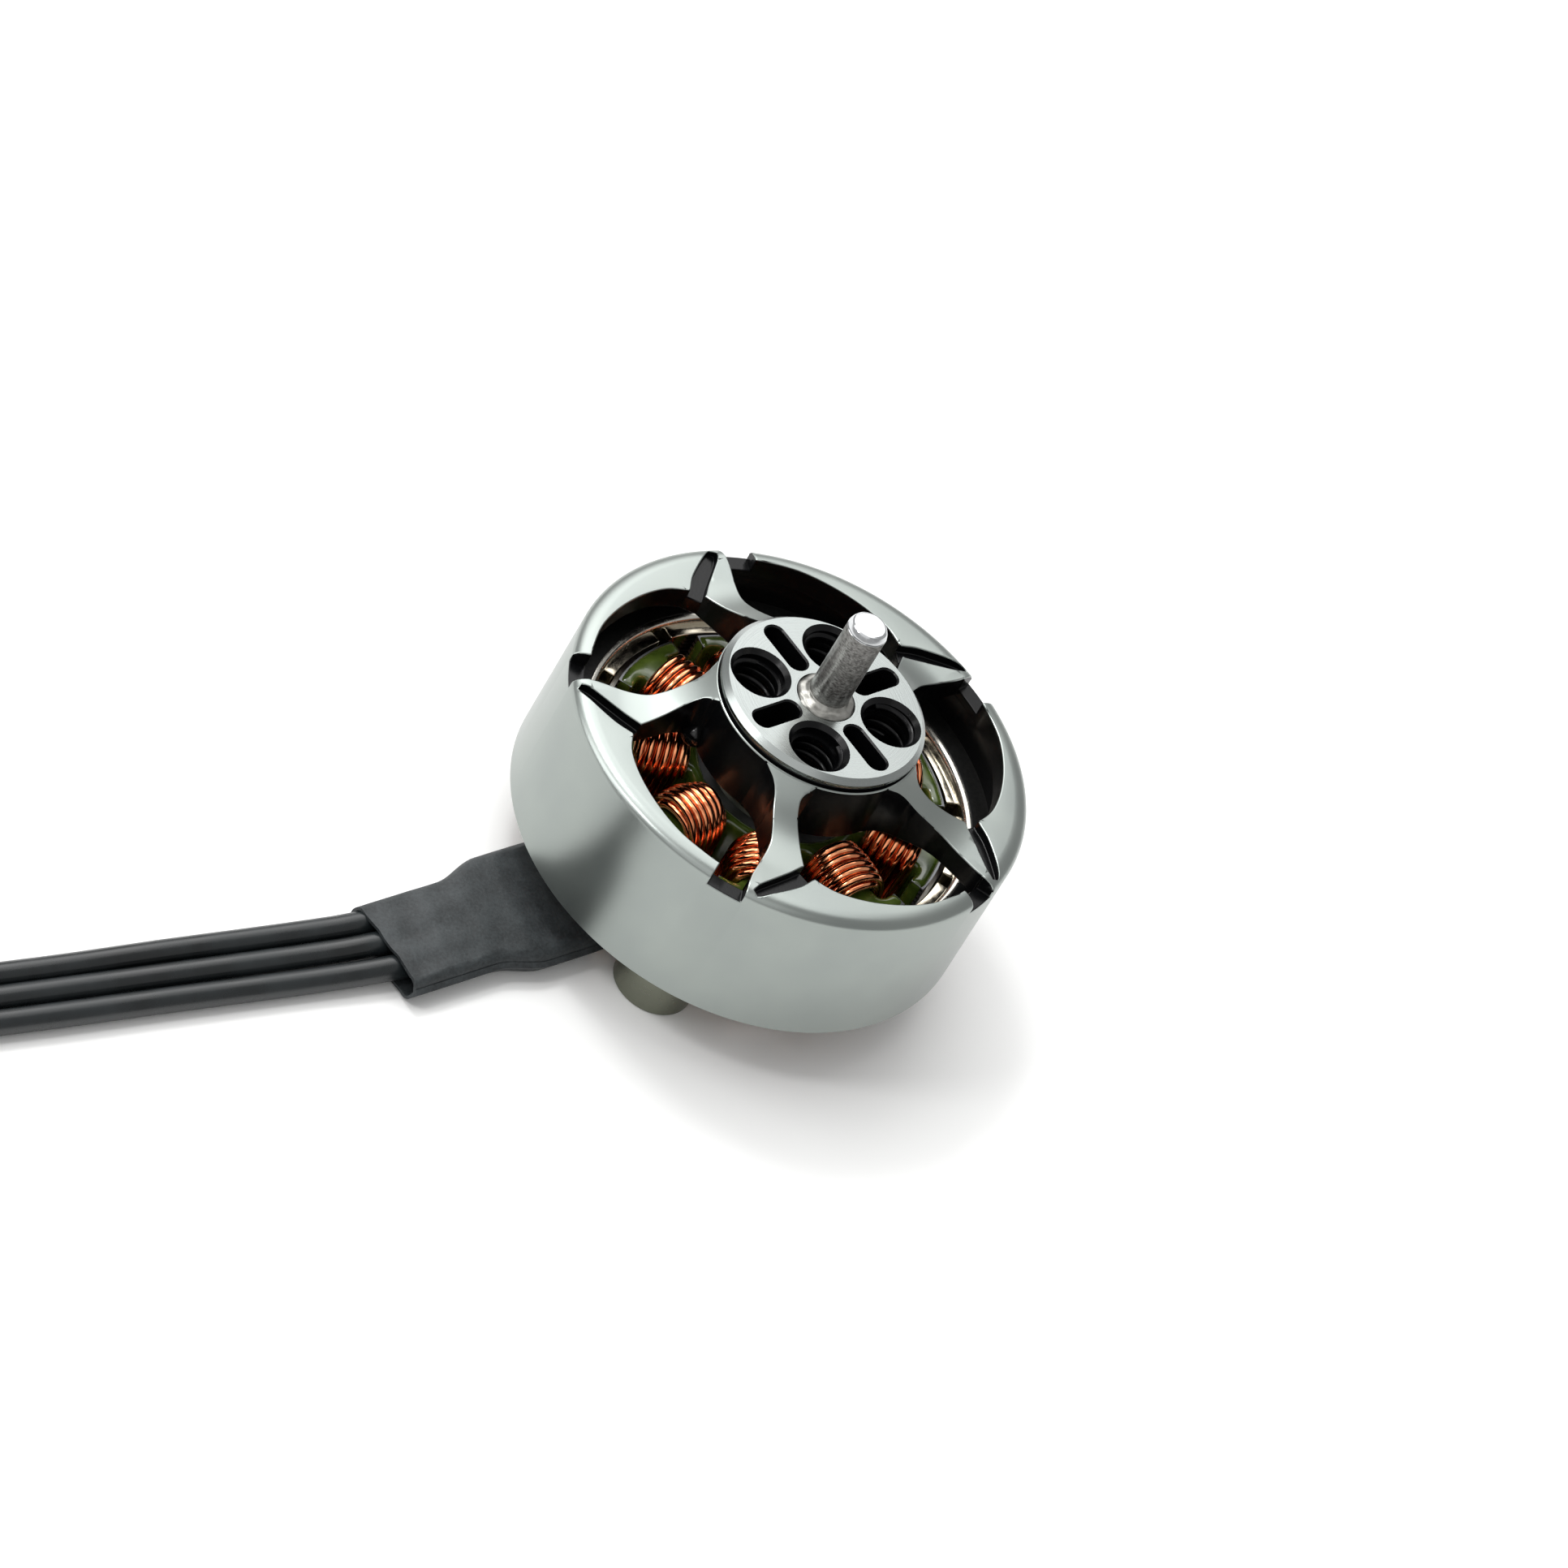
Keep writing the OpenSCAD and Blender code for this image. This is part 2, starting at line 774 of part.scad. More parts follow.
function sleeve_half_w(share) =
    let (step = min(1, max(0, (share - 0.3) / 0.25)))
    (sleeve_w - (sleeve_w - sleeve_end_w) * step * step * (3 - 2 * step)) / 2;

function sleeve_ring(share, inset, reach) =
    let (
        side = cross([0, 0, 1], along),
        h = sleeve_h / 2 - inset,
        w = sleeve_half_w(share) - inset,
        middle = sleeve_start + (share * sleeve_l + reach) * along
    )
    [
        for (k = [0:15])
            let (a = 360 * (k + 0.5) / 16)
            middle + (h * cos(a) + (w - h) * sign(cos(a))) * side + [0, 0, h * sin(a)]
    ];

module sleeve() {
    shares = [0, 0.3, 0.36, 0.42, 0.48, 0.55, 1];
    last = len(shares) - 1;
    color([0.13, 0.13, 0.14])
        difference() {
            skin([for (s = shares) sleeve_ring(s, 0, 0)]);
            skin([
                for (i = [0:last])
                    sleeve_ring(shares[i], sleeve_wall, i == 0 ? -overrun : (i == last ? overrun : 0))
            ]);
        }
}

function ease(u) = let (v = min(1, max(0, u))) v * v * (3 - 2 * v);

function layer_z(turned) =
    coil_pitch * (ease((turned - climb_start) / climb_span)
        + ease((turned - 360 - climb_start) / climb_span));

function coil_point(k, turned) =
    let (a = coil_entry - turned)
    coil_centre + [coil_radii[k] * cos(a), coil_radii[k] * sin(a), layer_z(turned)];

function coil_heading(turned) =
    let (a = coil_entry - turned)
    [sin(a), -cos(a), 0];

function coil_mouth(k) = coil_point(k, 0) - lead_d * coil_heading(0);

function coil_path(k) = concat(
    [coil_mouth(k)],
    [for (a = [0:coil_step:coil_turns[k]]) coil_point(k, a)],
    [coil_point(k, coil_turns[k])],
    [coil_point(k, coil_turns[k]) + lead_d * coil_heading(coil_turns[k])]
);

function lead_path(k) = concat(
    curve(concat(lead_routes[k], [coil_mouth(k) - lead_d * coil_heading(0)]), 2),
    [coil_mouth(k)]
);

module lead(k) {
    color([0.08, 0.08, 0.09])
        tube(lead_path(k), lead_d / 2, 8, [0, 0, 1]);
}

module lead_coil(k) {
    color([0.08, 0.08, 0.09])
        tube(coil_path(k), lead_d / 2, 6, [0, 0, 1]);
}

module coil_tie() {
    inner = coil_radii[0] - lead_d / 2 - tie_play;
    outer = coil_radii[2] + lead_d / 2 + tie_play;
    height = coil_pitch + lead_d + 2 * tie_play;
    color([0.85, 0.85, 0.82])
        translate([coil_centre[0] - outer, coil_centre[1] - tie_w / 2, tie_t])
            difference() {
                translate([-tie_t, 0, -tie_t])
                    cube([outer - inner + 2 * tie_t, tie_w, height + 2 * tie_t]);
                translate([0, -overrun, 0])
                    cube([outer - inner, tie_w + 2 * overrun, height]);
            }
}

module tinned_ends() {
    color([0.78, 0.78, 0.78])
        for (k = [0:2]) {
            a = coil_entry - coil_turns[k];
            translate(coil_point(k, coil_turns[k]) + lead_d * coil_heading(coil_turns[k]))
                rotate([0, 90, a - 90])
                    cylinder(r = tinned_r, h = tinned_l);
        }
}

echo(winding_gap = least_gap(wire_path, wire_d, 10));
echo(coil_gaps = [for (k = [0:2]) least_gap(coil_path(k), lead_d, 12)]);

bell();
flux_ring();
magnets();
magnet_adhesive();
shaft();
shaft_bead();
retaining_clip();
upper_shim();
lower_shim();
inner_race(upper_bearing_z);  // upper_inner_race
inner_race(lower_bearing_z);  // lower_inner_race
base();
outer_race(upper_bearing_z);  // upper_outer_race
outer_race(lower_bearing_z);  // lower_outer_race
balls(upper_bearing_z);  // upper_balls
balls(lower_bearing_z);  // lower_balls
cage(upper_bearing_z);  // upper_cage
cage(lower_bearing_z);  // lower_cage
shields(upper_bearing_z);  // upper_shields
shields(lower_bearing_z);  // lower_shields
stator_core();
stator_coat();
inner_windings();
windings(0);  // windings_phase_a
windings(1);  // windings_phase_b
windings(2);  // windings_phase_c
crossover_wires();
winding_tails();
solder_joints();
sleeve();
lead(0);  // lead_a
lead(1);  // lead_b
lead(2);  // lead_c
lead_coil(0);  // lead_a_coil
lead_coil(1);  // lead_b_coil
lead_coil(2);  // lead_c_coil
coil_tie();
tinned_ends();
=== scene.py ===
import math
import random

import bpy
from mathutils import Matrix, Vector


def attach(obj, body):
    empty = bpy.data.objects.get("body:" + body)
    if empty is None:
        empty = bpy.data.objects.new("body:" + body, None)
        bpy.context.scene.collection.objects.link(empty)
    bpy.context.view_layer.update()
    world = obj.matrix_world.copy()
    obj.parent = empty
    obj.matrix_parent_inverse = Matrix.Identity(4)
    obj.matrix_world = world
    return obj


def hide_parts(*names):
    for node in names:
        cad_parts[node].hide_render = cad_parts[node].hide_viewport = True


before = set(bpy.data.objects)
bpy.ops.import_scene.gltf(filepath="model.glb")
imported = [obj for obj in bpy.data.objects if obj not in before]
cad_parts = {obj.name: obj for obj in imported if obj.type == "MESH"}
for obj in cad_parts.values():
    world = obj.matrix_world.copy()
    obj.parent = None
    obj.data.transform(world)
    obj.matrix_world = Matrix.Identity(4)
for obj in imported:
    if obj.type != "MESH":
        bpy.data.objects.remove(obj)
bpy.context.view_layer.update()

# Pieces are modelled in millimetres and shrunk to metres when they are done.
mm = 0.001
restAngle = 15.65


# Small helpers

def deselect():
    bpy.ops.object.select_all(action="DESELECT")


def choose(piece):
    deselect()
    piece.select_set(True)
    bpy.context.view_layer.objects.active = piece


def onCircle(radius, angle, z=0.0):
    a = math.radians(angle)
    return Vector((radius * math.cos(a), radius * math.sin(a), z))


def curvePoint(points, i, u):
    last = len(points) - 1
    a, b = points[max(0, i - 1)], points[i]
    c, d = points[min(last, i + 1)], points[min(last, i + 2)]
    return (2 * b + (c - a) * u + (2 * a - 5 * b + 4 * c - d) * u ** 2
            + (3 * b - 3 * c + d - a) * u ** 3) / 2


def smoothCurve(points, steps):
    points = [Vector(p) for p in points]
    bent = [curvePoint(points, i, k / steps) for i in range(len(points) - 1) for k in range(steps)]
    return bent + [points[-1]]


def ease(u):
    u = min(1.0, max(0.0, u))
    return u * u * (3 - 2 * u)


def editAll():
    bpy.ops.object.mode_set(mode="EDIT")
    bpy.ops.mesh.select_all(action="SELECT")


def leaveEdit():
    bpy.ops.object.mode_set(mode="OBJECT")


# A closed outline is drawn by pulling one vertex from point to point.
def drawOutline(name, points):
    deselect()
    bpy.ops.mesh.primitive_plane_add(size=1, location=(0, 0, 0))
    piece = bpy.context.object
    piece.name = name
    piece.data.name = name
    points = [Vector(p) for p in points]
    bpy.ops.object.mode_set(mode="EDIT")
    bpy.ops.mesh.select_mode(type="VERT")
    bpy.ops.mesh.select_all(action="SELECT")
    bpy.ops.mesh.merge(type="CENTER")
    bpy.ops.transform.translate(value=points[0])
    for start, end in zip(points, points[1:] + points[:1]):
        bpy.ops.mesh.extrude_vertices_move(TRANSFORM_OT_translate={"value": end - start})
    bpy.ops.mesh.select_all(action="SELECT")
    bpy.ops.mesh.remove_doubles(threshold=0.0001)
    leaveEdit()
    return piece


def turned(name, profile, steps):
    piece = drawOutline(name, [(r, 0, z) for r, z in profile])
    editAll()
    bpy.ops.mesh.spin(steps=steps, angle=2 * math.pi, center=(0, 0, 0), axis=(0, 0, 1))
    bpy.ops.mesh.select_all(action="SELECT")
    bpy.ops.mesh.remove_doubles(threshold=0.0005)
    bpy.ops.mesh.normals_make_consistent(inside=False)
    leaveEdit()
    return piece


def prism(name, outline, low, high):
    piece = drawOutline(name, [(p[0], p[1], low) for p in outline])
    editAll()
    bpy.ops.mesh.edge_face_add()
    bpy.ops.mesh.extrude_region_move(TRANSFORM_OT_translate={"value": (0, 0, high - low)})
    bpy.ops.mesh.select_all(action="SELECT")
    bpy.ops.mesh.normals_make_consistent(inside=False)
    leaveEdit()
    return piece


# Selects the faces that a test on their middle and normal lets through.
def pickFaces(piece, test):
    choose(piece)
    bpy.ops.object.mode_set(mode="EDIT")
    bpy.ops.mesh.select_mode(type="FACE")
    bpy.ops.mesh.select_all(action="DESELECT")
    leaveEdit()
    for face in piece.data.polygons:
        face.select = test(face.center, face.normal)
    bpy.ops.object.mode_set(mode="EDIT")


# A cutter's top is pulled up and widened about a point on x, so that its cut has a flared mouth.
def flareTop(cutter, over, wideX, wideY, x):
    pickFaces(cutter, lambda middle, normal: normal.z > 0.9)
    bpy.ops.mesh.extrude_region_move(TRANSFORM_OT_translate={"value": (0, 0, over)})
    bpy.ops.transform.resize(value=(wideX, wideY, 1), center_override=(x, 0, 0))
    leaveEdit()


def joined(pieces):
    choose(pieces[0])
    for piece in pieces:
        piece.select_set(True)
    bpy.ops.object.join()
    return bpy.context.object


def copiesAround(piece, count, start=0.0):
    copies = []
    for k in range(count):
        copy = piece.copy()
        copy.data = piece.data.copy()
        bpy.context.collection.objects.link(copy)
        copy.data.transform(Matrix.Rotation(math.radians(start + 360 * k / count), 4, "Z"))
        copies.append(copy)
    bpy.data.objects.remove(piece)
    return joined(copies)


def modify(piece, kind, **settings):
    choose(piece)
    step = piece.modifiers.new(kind.lower(), kind)
    for name, value in settings.items():
        setattr(step, name, value)
    bpy.ops.object.modifier_apply(modifier=step.name)


def combine(piece, other, operation):
    modify(piece, "BOOLEAN", operation=operation, solver="EXACT", object=other)
    bpy.data.objects.remove(other)


def cut(piece, cutter):
    combine(piece, cutter, "DIFFERENCE")


def breakEdges(piece, width, segments, clamp=True, sharp=50):
    modify(piece, "BEVEL", width=width, segments=segments, limit_method="ANGLE",
           angle_limit=math.radians(sharp), use_clamp_overlap=clamp)


# A cut leaves faces with holes in them, which are split into triangles before a bevel.
def cleanCut(piece, threshold):
    choose(piece)
    editAll()
    bpy.ops.mesh.quads_convert_to_tris(quad_method="BEAUTY", ngon_method="BEAUTY")
    bpy.ops.mesh.select_all(action="SELECT")
    bpy.ops.mesh.remove_doubles(threshold=threshold)
    bpy.ops.mesh.dissolve_degenerate(threshold=threshold)
    leaveEdit()


def shadeSmooth(piece, angle):
    choose(piece)
    bpy.ops.object.shade_smooth_by_angle(angle=math.radians(angle))


def tubeCurve(name, path, radius, sides, scale=mm):
    shape = bpy.data.curves.new(name, "CURVE")
    shape.dimensions = "3D"
    shape.bevel_depth = radius * scale
    shape.bevel_resolution = sides
    shape.use_fill_caps = True
    spline = shape.splines.new("POLY")
    spline.points.add(len(path) - 1)
    for point, place in zip(spline.points, path):
        point.co = (*[value * scale for value in place], 1)
    spline.use_smooth = True
    piece = bpy.data.objects.new(name, shape)
    bpy.context.collection.objects.link(piece)
    return piece


def tubeMesh(name, path, radius, sides):
    piece = tubeCurve(name, path, radius, sides, 1.0)
    choose(piece)
    bpy.ops.object.convert(target="MESH")
    return bpy.context.object


# The finished piece is shrunk to metres, and rides on its body.
def settle(piece, body, materials, stands=()):
    choose(piece)
    piece.scale = (mm, mm, mm)
    bpy.ops.object.transform_apply(location=True, rotation=True, scale=True)
    piece.data.materials.clear()
    for material in materials:
        piece.data.materials.append(material)
    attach(piece, body)
    if stands:
        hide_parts(*stands)


# Materials

def hexColour(text):
    values = [int(text[i:i + 2], 16) / 255 for i in (1, 3, 5)]
    linear = [v / 12.92 if v <= 0.04045 else ((v + 0.055) / 1.055) ** 2.4 for v in values]
    return (*linear, 1.0)


def newMaterial(name, colour, metallic, roughness):
    material = bpy.data.materials.new(name)
    material.use_nodes = True
    shader = material.node_tree.nodes["Principled BSDF"]
    shader.inputs["Base Color"].default_value = hexColour(colour)
    shader.inputs["Metallic"].default_value = metallic
    shader.inputs["Roughness"].default_value = roughness
    return material


# A socket is linked to the input, and anything else becomes the input's value.
def feed(material, entry, value):
    if isinstance(value, bpy.types.NodeSocket):
        material.node_tree.links.new(value, entry)
    else:
        entry.default_value = value


def addNode(material, kind, inputs=None, **settings):
    node = material.node_tree.nodes.new(kind)
    for name, value in settings.items():
        setattr(node, name, value)
    for name, value in (inputs or {}).items():
        feed(material, node.inputs[name], value)
    return node


def dress(material, **inputs):
    shader = material.node_tree.nodes["Principled BSDF"]
    for name, value in inputs.items():
        feed(material, shader.inputs[name.replace("_", " ")], value)


def colourRamp(material, factor, stops):
    ramp = addNode(material, "ShaderNodeValToRGB", {"Fac": factor})
    elements = ramp.color_ramp.elements
    while len(elements) < len(stops):
        elements.new(0.5)
    for element, (place, colour) in zip(elements, stops):
        element.position = place
        element.color = hexColour(colour)
    return ramp.outputs["Color"]


def ownPlace(material):
    return addNode(material, "ShaderNodeTexCoord").outputs["Object"]


# Noise with spots of about the given size, in metres.
def noiseOf(material, place, size, detail=2.0, roughness=0.5):
    noise = addNode(material, "ShaderNodeTexNoise", {
        "Vector": place, "Scale": 1 / size, "Detail": detail, "Roughness": roughness})
    return noise.outputs["Fac"]


def roughFrom(material, pattern, low, high, start=0.3, end=0.7):
    spread = addNode(material, "ShaderNodeMapRange", {
        "Value": pattern, "From Min": start, "From Max": end, "To Min": low, "To Max": high})
    return spread.outputs["Result"]


def bumpFrom(material, pattern, strength, depth, **over):
    bump = addNode(material, "ShaderNodeBump", {
        "Height": pattern, "Strength": strength, "Distance": depth, **over})
    return bump.outputs["Normal"]


# Bead-blasted and anodised aluminium: an even, pale satin with a very fine grain.
def satinAluminium():
    look = {
        "colour": "#969C98", "roughness": 0.32,
        "grain": 0.09 * mm, "cloud": 3 * mm,
        "tints": [(0.3, "#929895"), (0.7, "#9AA09C")],
        "rough": (0.29, 0.35), "bump": (0.12, 0.01 * mm),
    }
    m = newMaterial("anodisedSatinAluminium", look["colour"], 1.0, look["roughness"])
    place = ownPlace(m)
    grain = noiseOf(m, place, look["grain"], 3.0, 0.6)
    cloud = noiseOf(m, place, look["cloud"])
    dress(m, Base_Color=colourRamp(m, cloud, look["tints"]),
          Roughness=roughFrom(m, cloud, *look["rough"]), Normal=bumpFrom(m, grain, *look["bump"]))
    return m


# Black anodised aluminium, as it stays where the second machining didn't reach.
def blackAnodised():
    look = {
        "colour": "#050506", "roughness": 0.24,
        "specular": 0.2,
        "grain": 0.08 * mm,
        "tints": [(0.35, "#040405"), (0.7, "#08090A")],
        "bump": (0.15, 0.01 * mm),
    }
    m = newMaterial("blackAnodisedAluminium", look["colour"], 0.0, look["roughness"])
    grain = noiseOf(m, ownPlace(m), look["grain"], 3.0)
    dress(m, Specular_IOR_Level=look["specular"], Base_Color=colourRamp(m, grain, look["tints"]),
          Normal=bumpFrom(m, grain, *look["bump"]))
    return m


# Faced on a lathe: fine rings about the axis, and a sheen that runs along them.
def turnedAluminium(name="facedAluminium", colour="#9DA2A0", roughness=0.25, ring=0.06 * mm):
    look = {"smoother": 0.03, "rougher": 0.04, "bump": (0.2, 0.004 * mm), "stretch": 0.45}
    m = newMaterial(name, colour, 1.0, roughness)
    parts = addNode(m, "ShaderNodeSeparateXYZ", {"Vector": ownPlace(m)})
    flat = addNode(m, "ShaderNodeCombineXYZ", {"X": parts.outputs["X"], "Y": parts.outputs["Y"]})
    radius = addNode(m, "ShaderNodeVectorMath", {0: flat.outputs["Vector"]}, operation="LENGTH")
    across = addNode(m, "ShaderNodeCombineXYZ",
                     {"X": radius.outputs["Value"], "Z": parts.outputs["Z"]})
    rings = noiseOf(m, across.outputs["Vector"], ring)
    rough = roughFrom(m, rings, roughness - look["smoother"], roughness + look["rougher"])
    around = addNode(m, "ShaderNodeTangent", direction_type="RADIAL", axis="Z")
    dress(m, Anisotropic=look["stretch"], Roughness=rough,
          Normal=bumpFrom(m, rings, *look["bump"]), Tangent=around.outputs["Tangent"])
    return m


# Hardened steel ground between wheels: short fine scratches round the shaft.
def groundSteel():
    look = {
        "colour": "#A09E9B", "roughness": 0.32,
        "scratch": 0.13 * mm, "squeeze": (1.0, 1.0, 2.6),
        "tints": [(0.38, "#868481"), (0.6, "#B4B2AF")],
        "rough": (0.28, 0.42, 0.35, 0.65), "bump": (0.35, 0.006 * mm),
    }
    m = newMaterial("groundSteel", look["colour"], 1.0, look["roughness"])
    flatter = addNode(m, "ShaderNodeMapping", {"Vector": ownPlace(m), "Scale": look["squeeze"]})
    scratches = noiseOf(m, flatter.outputs["Vector"], look["scratch"], 5.0, 0.6)
    dress(m, Base_Color=colourRamp(m, scratches, look["tints"]),
          Roughness=roughFrom(m, scratches, *look["rough"]),
          Normal=bumpFrom(m, scratches, *look["bump"]))
    return m


# Nickel plate on a sintered magnet: mirror-like with a faint orange-peel.
def nickelPlate(name="nickelPlate", colour="#C9C0AE", roughness=0.14, peel=0.25 * mm):
    look = {"smoother": 0.04, "rougher": 0.08, "bump": (0.2, 0.01 * mm)}
    m = newMaterial(name, colour, 1.0, roughness)
    waves = noiseOf(m, ownPlace(m), peel)
    rough = roughFrom(m, waves, roughness - look["smoother"], roughness + look["rougher"])
    dress(m, Roughness=rough, Normal=bumpFrom(m, waves, *look["bump"]))
    return m


# Steel blackened in hot oxide: near black with a soft sheen.
def oxideSteel():
    look = {
        "colour": "#131313", "metal": 0.6,
        "roughness": 0.42,
        "grain": 0.1 * mm,
        "tints": [(0.35, "#0D0D0D"), (0.7, "#1D1C1B")],
        "bump": (0.2, 0.01 * mm),
    }
    m = newMaterial("oxideSteel", look["colour"], look["metal"], look["roughness"])
    grain = noiseOf(m, ownPlace(m), look["grain"], 4.0)
    dress(m, Base_Color=colourRamp(m, grain, look["tints"]),
          Normal=bumpFrom(m, grain, *look["bump"]))
    return m


# Powdered epoxy melted onto the stack: thick, glossy and a little lumpy.
def oliveEpoxy():
    look = {
        "colour": "#3A4A17", "roughness": 0.2,
        "coat": 0.4, "coatRoughness": 0.08,
        "lump": 0.7 * mm,
        "tints": [(0.3, "#2E3D10"), (0.7, "#4B5C20")],
        "bump": (0.2, 0.05 * mm),
    }
    m = newMaterial("oliveEpoxy", look["colour"], 0.0, look["roughness"])
    lumps = noiseOf(m, ownPlace(m), look["lump"])
    dress(m, Coat_Weight=look["coat"], Coat_Roughness=look["coatRoughness"],
          Base_Color=colourRamp(m, lumps, look["tints"]),
          Normal=bumpFrom(m, lumps, *look["bump"]))
    return m


# Round copper wire under clear enamel: orange metal with a gloss of its own.
def enamelledCopper():
    look = {
        "colour": "#E4854C", "roughness": 0.12,
        "coat": 0.9, "coatRoughness": 0.05,
        "patch": 0.5 * mm,
        "tints": [(0.3, "#CA6232"), (0.7, "#F6A874")],
        "rough": (0.09, 0.17),
    }
    m = newMaterial("enamelledCopper", look["colour"], 1.0, look["roughness"])
    patches = noiseOf(m, ownPlace(m), look["patch"])
    dress(m, Coat_Weight=look["coat"], Coat_Roughness=look["coatRoughness"],
          Base_Color=colourRamp(m, patches, look["tints"]),
          Roughness=roughFrom(m, patches, *look["rough"]))
    return m


# Soft silicone insulation: black satin with faint rubbed patches.
def siliconeRubber():
    look = {
        "colour": "#0F1213", "roughness": 0.28,
        "patch": 1.5 * mm, "grain": 0.06 * mm,
        "tints": [(0.3, "#101314"), (0.75, "#1E2325")],
        "rough": (0.22, 0.34), "bump": (0.12, 0.01 * mm),
    }
    m = newMaterial("siliconeRubber", look["colour"], 0.0, look["roughness"])
    place = ownPlace(m)
    patches = noiseOf(m, place, look["patch"], 3.0)
    grain = noiseOf(m, place, look["grain"])
    dress(m, Base_Color=colourRamp(m, patches, look["tints"]),
          Roughness=roughFrom(m, patches, *look["rough"]),
          Normal=bumpFrom(m, grain, *look["bump"]))
    return m


# Polyolefin tube shrunk with hot air: matte charcoal with a fine leathery skin.
def heatShrink():
    look = {
        "colour": "#25292C", "roughness": 0.58,
        "skin": 0.12 * mm, "patch": 1.1 * mm,
        "tints": [(0.38, "#171B1D"), (0.62, "#313638")],
        "swell": (0.5, 0.12 * mm),
        "bump": (0.6, 0.02 * mm),
    }
    m = newMaterial("heatShrinkPolyolefin", look["colour"], 0.0, look["roughness"])
    place = ownPlace(m)
    skin = noiseOf(m, place, look["skin"], 4.0, 0.65)
    patches = noiseOf(m, place, look["patch"], 3.0)
    both = addNode(m, "ShaderNodeMath", {0: skin, 1: patches}, operation="ADD")
    mottle = addNode(m, "ShaderNodeMath", {0: both.outputs[0], 1: 0.5}, operation="MULTIPLY")
    swell = bumpFrom(m, patches, *look["swell"])
    dress(m, Base_Color=colourRamp(m, mottle.outputs[0], look["tints"]),
          Normal=bumpFrom(m, skin, *look["bump"], Normal=swell))
    return m


# A finish for what hardly shows, from dark to light in a grain of the given size.
def plainFinish(name, dark, light, metallic, roughness, grain):
    look = {"from": 0.3, "to": 0.7, "bump": (0.2, 0.01 * mm)}
    m = newMaterial(name, dark, metallic, roughness)
    noise = noiseOf(m, ownPlace(m), grain, 3.0)
    dress(m, Base_Color=colourRamp(m, noise, [(look["from"], dark), (look["to"], light)]),
          Normal=bumpFrom(m, noise, *look["bump"]))
    return m


# Stamped silicon steel sheets 0.2 mm thick, seen on their edges.
def laminatedSteel():
    look = {
        "colour": "#6F7072", "roughness": 0.4,
        "sheet": 0.2 * mm,
        "tints": [(0.1, "#3C3D3F"), (0.35, "#7C7D7F")],
        "bump": (0.4, 0.02 * mm),
    }
    m = newMaterial("laminatedSteel", look["colour"], 1.0, look["roughness"])
    bandsPerTurn = 20  # the wave texture's own factor
    sheets = addNode(m, "ShaderNodeTexWave",
                     {"Vector": ownPlace(m), "Scale": 2 * math.pi / (bandsPerTurn * look["sheet"]),
                      "Distortion": 0.0}, bands_direction="Z").outputs["Fac"]
    dress(m, Base_Color=colourRamp(m, sheets, look["tints"]),
          Normal=bumpFrom(m, sheets, *look["bump"]))
    return m


finish = {
    "drop": plainFinish("blackEpoxy", "#060607", "#0E0E0F", 0.0, 0.06, 0.3 * mm),
    "silver": satinAluminium(),
    "black": blackAnodised(),
    "faced": turnedAluminium(),
    # Base: aluminium like the bell's, darkened and tinted olive as painted shade from the shadowed
    # floor it mirrors.
    "base": turnedAluminium("baseAluminiumPaintedShade", "#7F8174", 0.3, 0.08 * mm),
    "shaft": groundSteel(),
    "nickel": nickelPlate(),
    "brightLip": nickelPlate("groundRingLip", "#D8D5CC", 0.2, 0.3 * mm),
    "oxide": oxideSteel(),
    "epoxy": oliveEpoxy(),
    "copper": enamelledCopper(),
    "rubber": siliconeRubber(),
    "sleeve": heatShrink(),
    "stack": laminatedSteel(),
    "bead": plainFinish("meltedBead", "#8C8B86", "#A9A8A3", 1.0, 0.33, 0.2 * mm),
    "solder": plainFinish("tinSolder", "#A9ABAC", "#C9CBCC", 1.0, 0.3, 0.2 * mm),
    "bearing": plainFinish("bearingSteel", "#B9BBBD", "#CFD1D2", 1.0, 0.16, 0.3 * mm),
    "brass": plainFinish("rolledBrass", "#B08D4A", "#C9A55C", 1.0, 0.3, 0.15 * mm),
    "spring": plainFinish("oiledSpringSteel", "#2B2C2E", "#3E4042", 0.8, 0.32, 0.12 * mm),
    "glue": plainFinish("magnetEpoxy", "#1B1812", "#2B261B", 0.0, 0.2, 0.3 * mm),
    "tie": plainFinish("paperTie", "#D9D8D2", "#EAE9E4", 0.0, 0.8, 0.1 * mm),
}
print("materials made:", len(finish))


# Camera, from the fit to the photo: its place in millimetres and its own axes.
def makeCamera():
    view = {
        "place": (-184.81, -180.53, 233.80),
        "right": (0.84277, -0.36511, 0.39560),
        "up": (0.03441, 0.76994, 0.63720),
        "ahead": (0.53725, 0.52336, -0.66141),
        "lens": 223.2, "sensor": 36.0, "near": 0.01, "far": 20,
    }
    lensData = bpy.data.cameras.new("photoCamera")
    lensData.lens = view["lens"]
    lensData.sensor_width = view["sensor"]
    lensData.clip_start = view["near"]
    lensData.clip_end = view["far"]
    camera = bpy.data.objects.new("photoCamera", lensData)
    right, up, ahead = (Vector(view[k]) for k in ("right", "up", "ahead"))
    turn = Matrix((right, up, -ahead)).transposed().to_4x4()
    camera.matrix_world = Matrix.Translation(Vector(view["place"]) * mm) @ turn
    bpy.context.collection.objects.link(camera)
    bpy.context.scene.camera = camera


makeCamera()

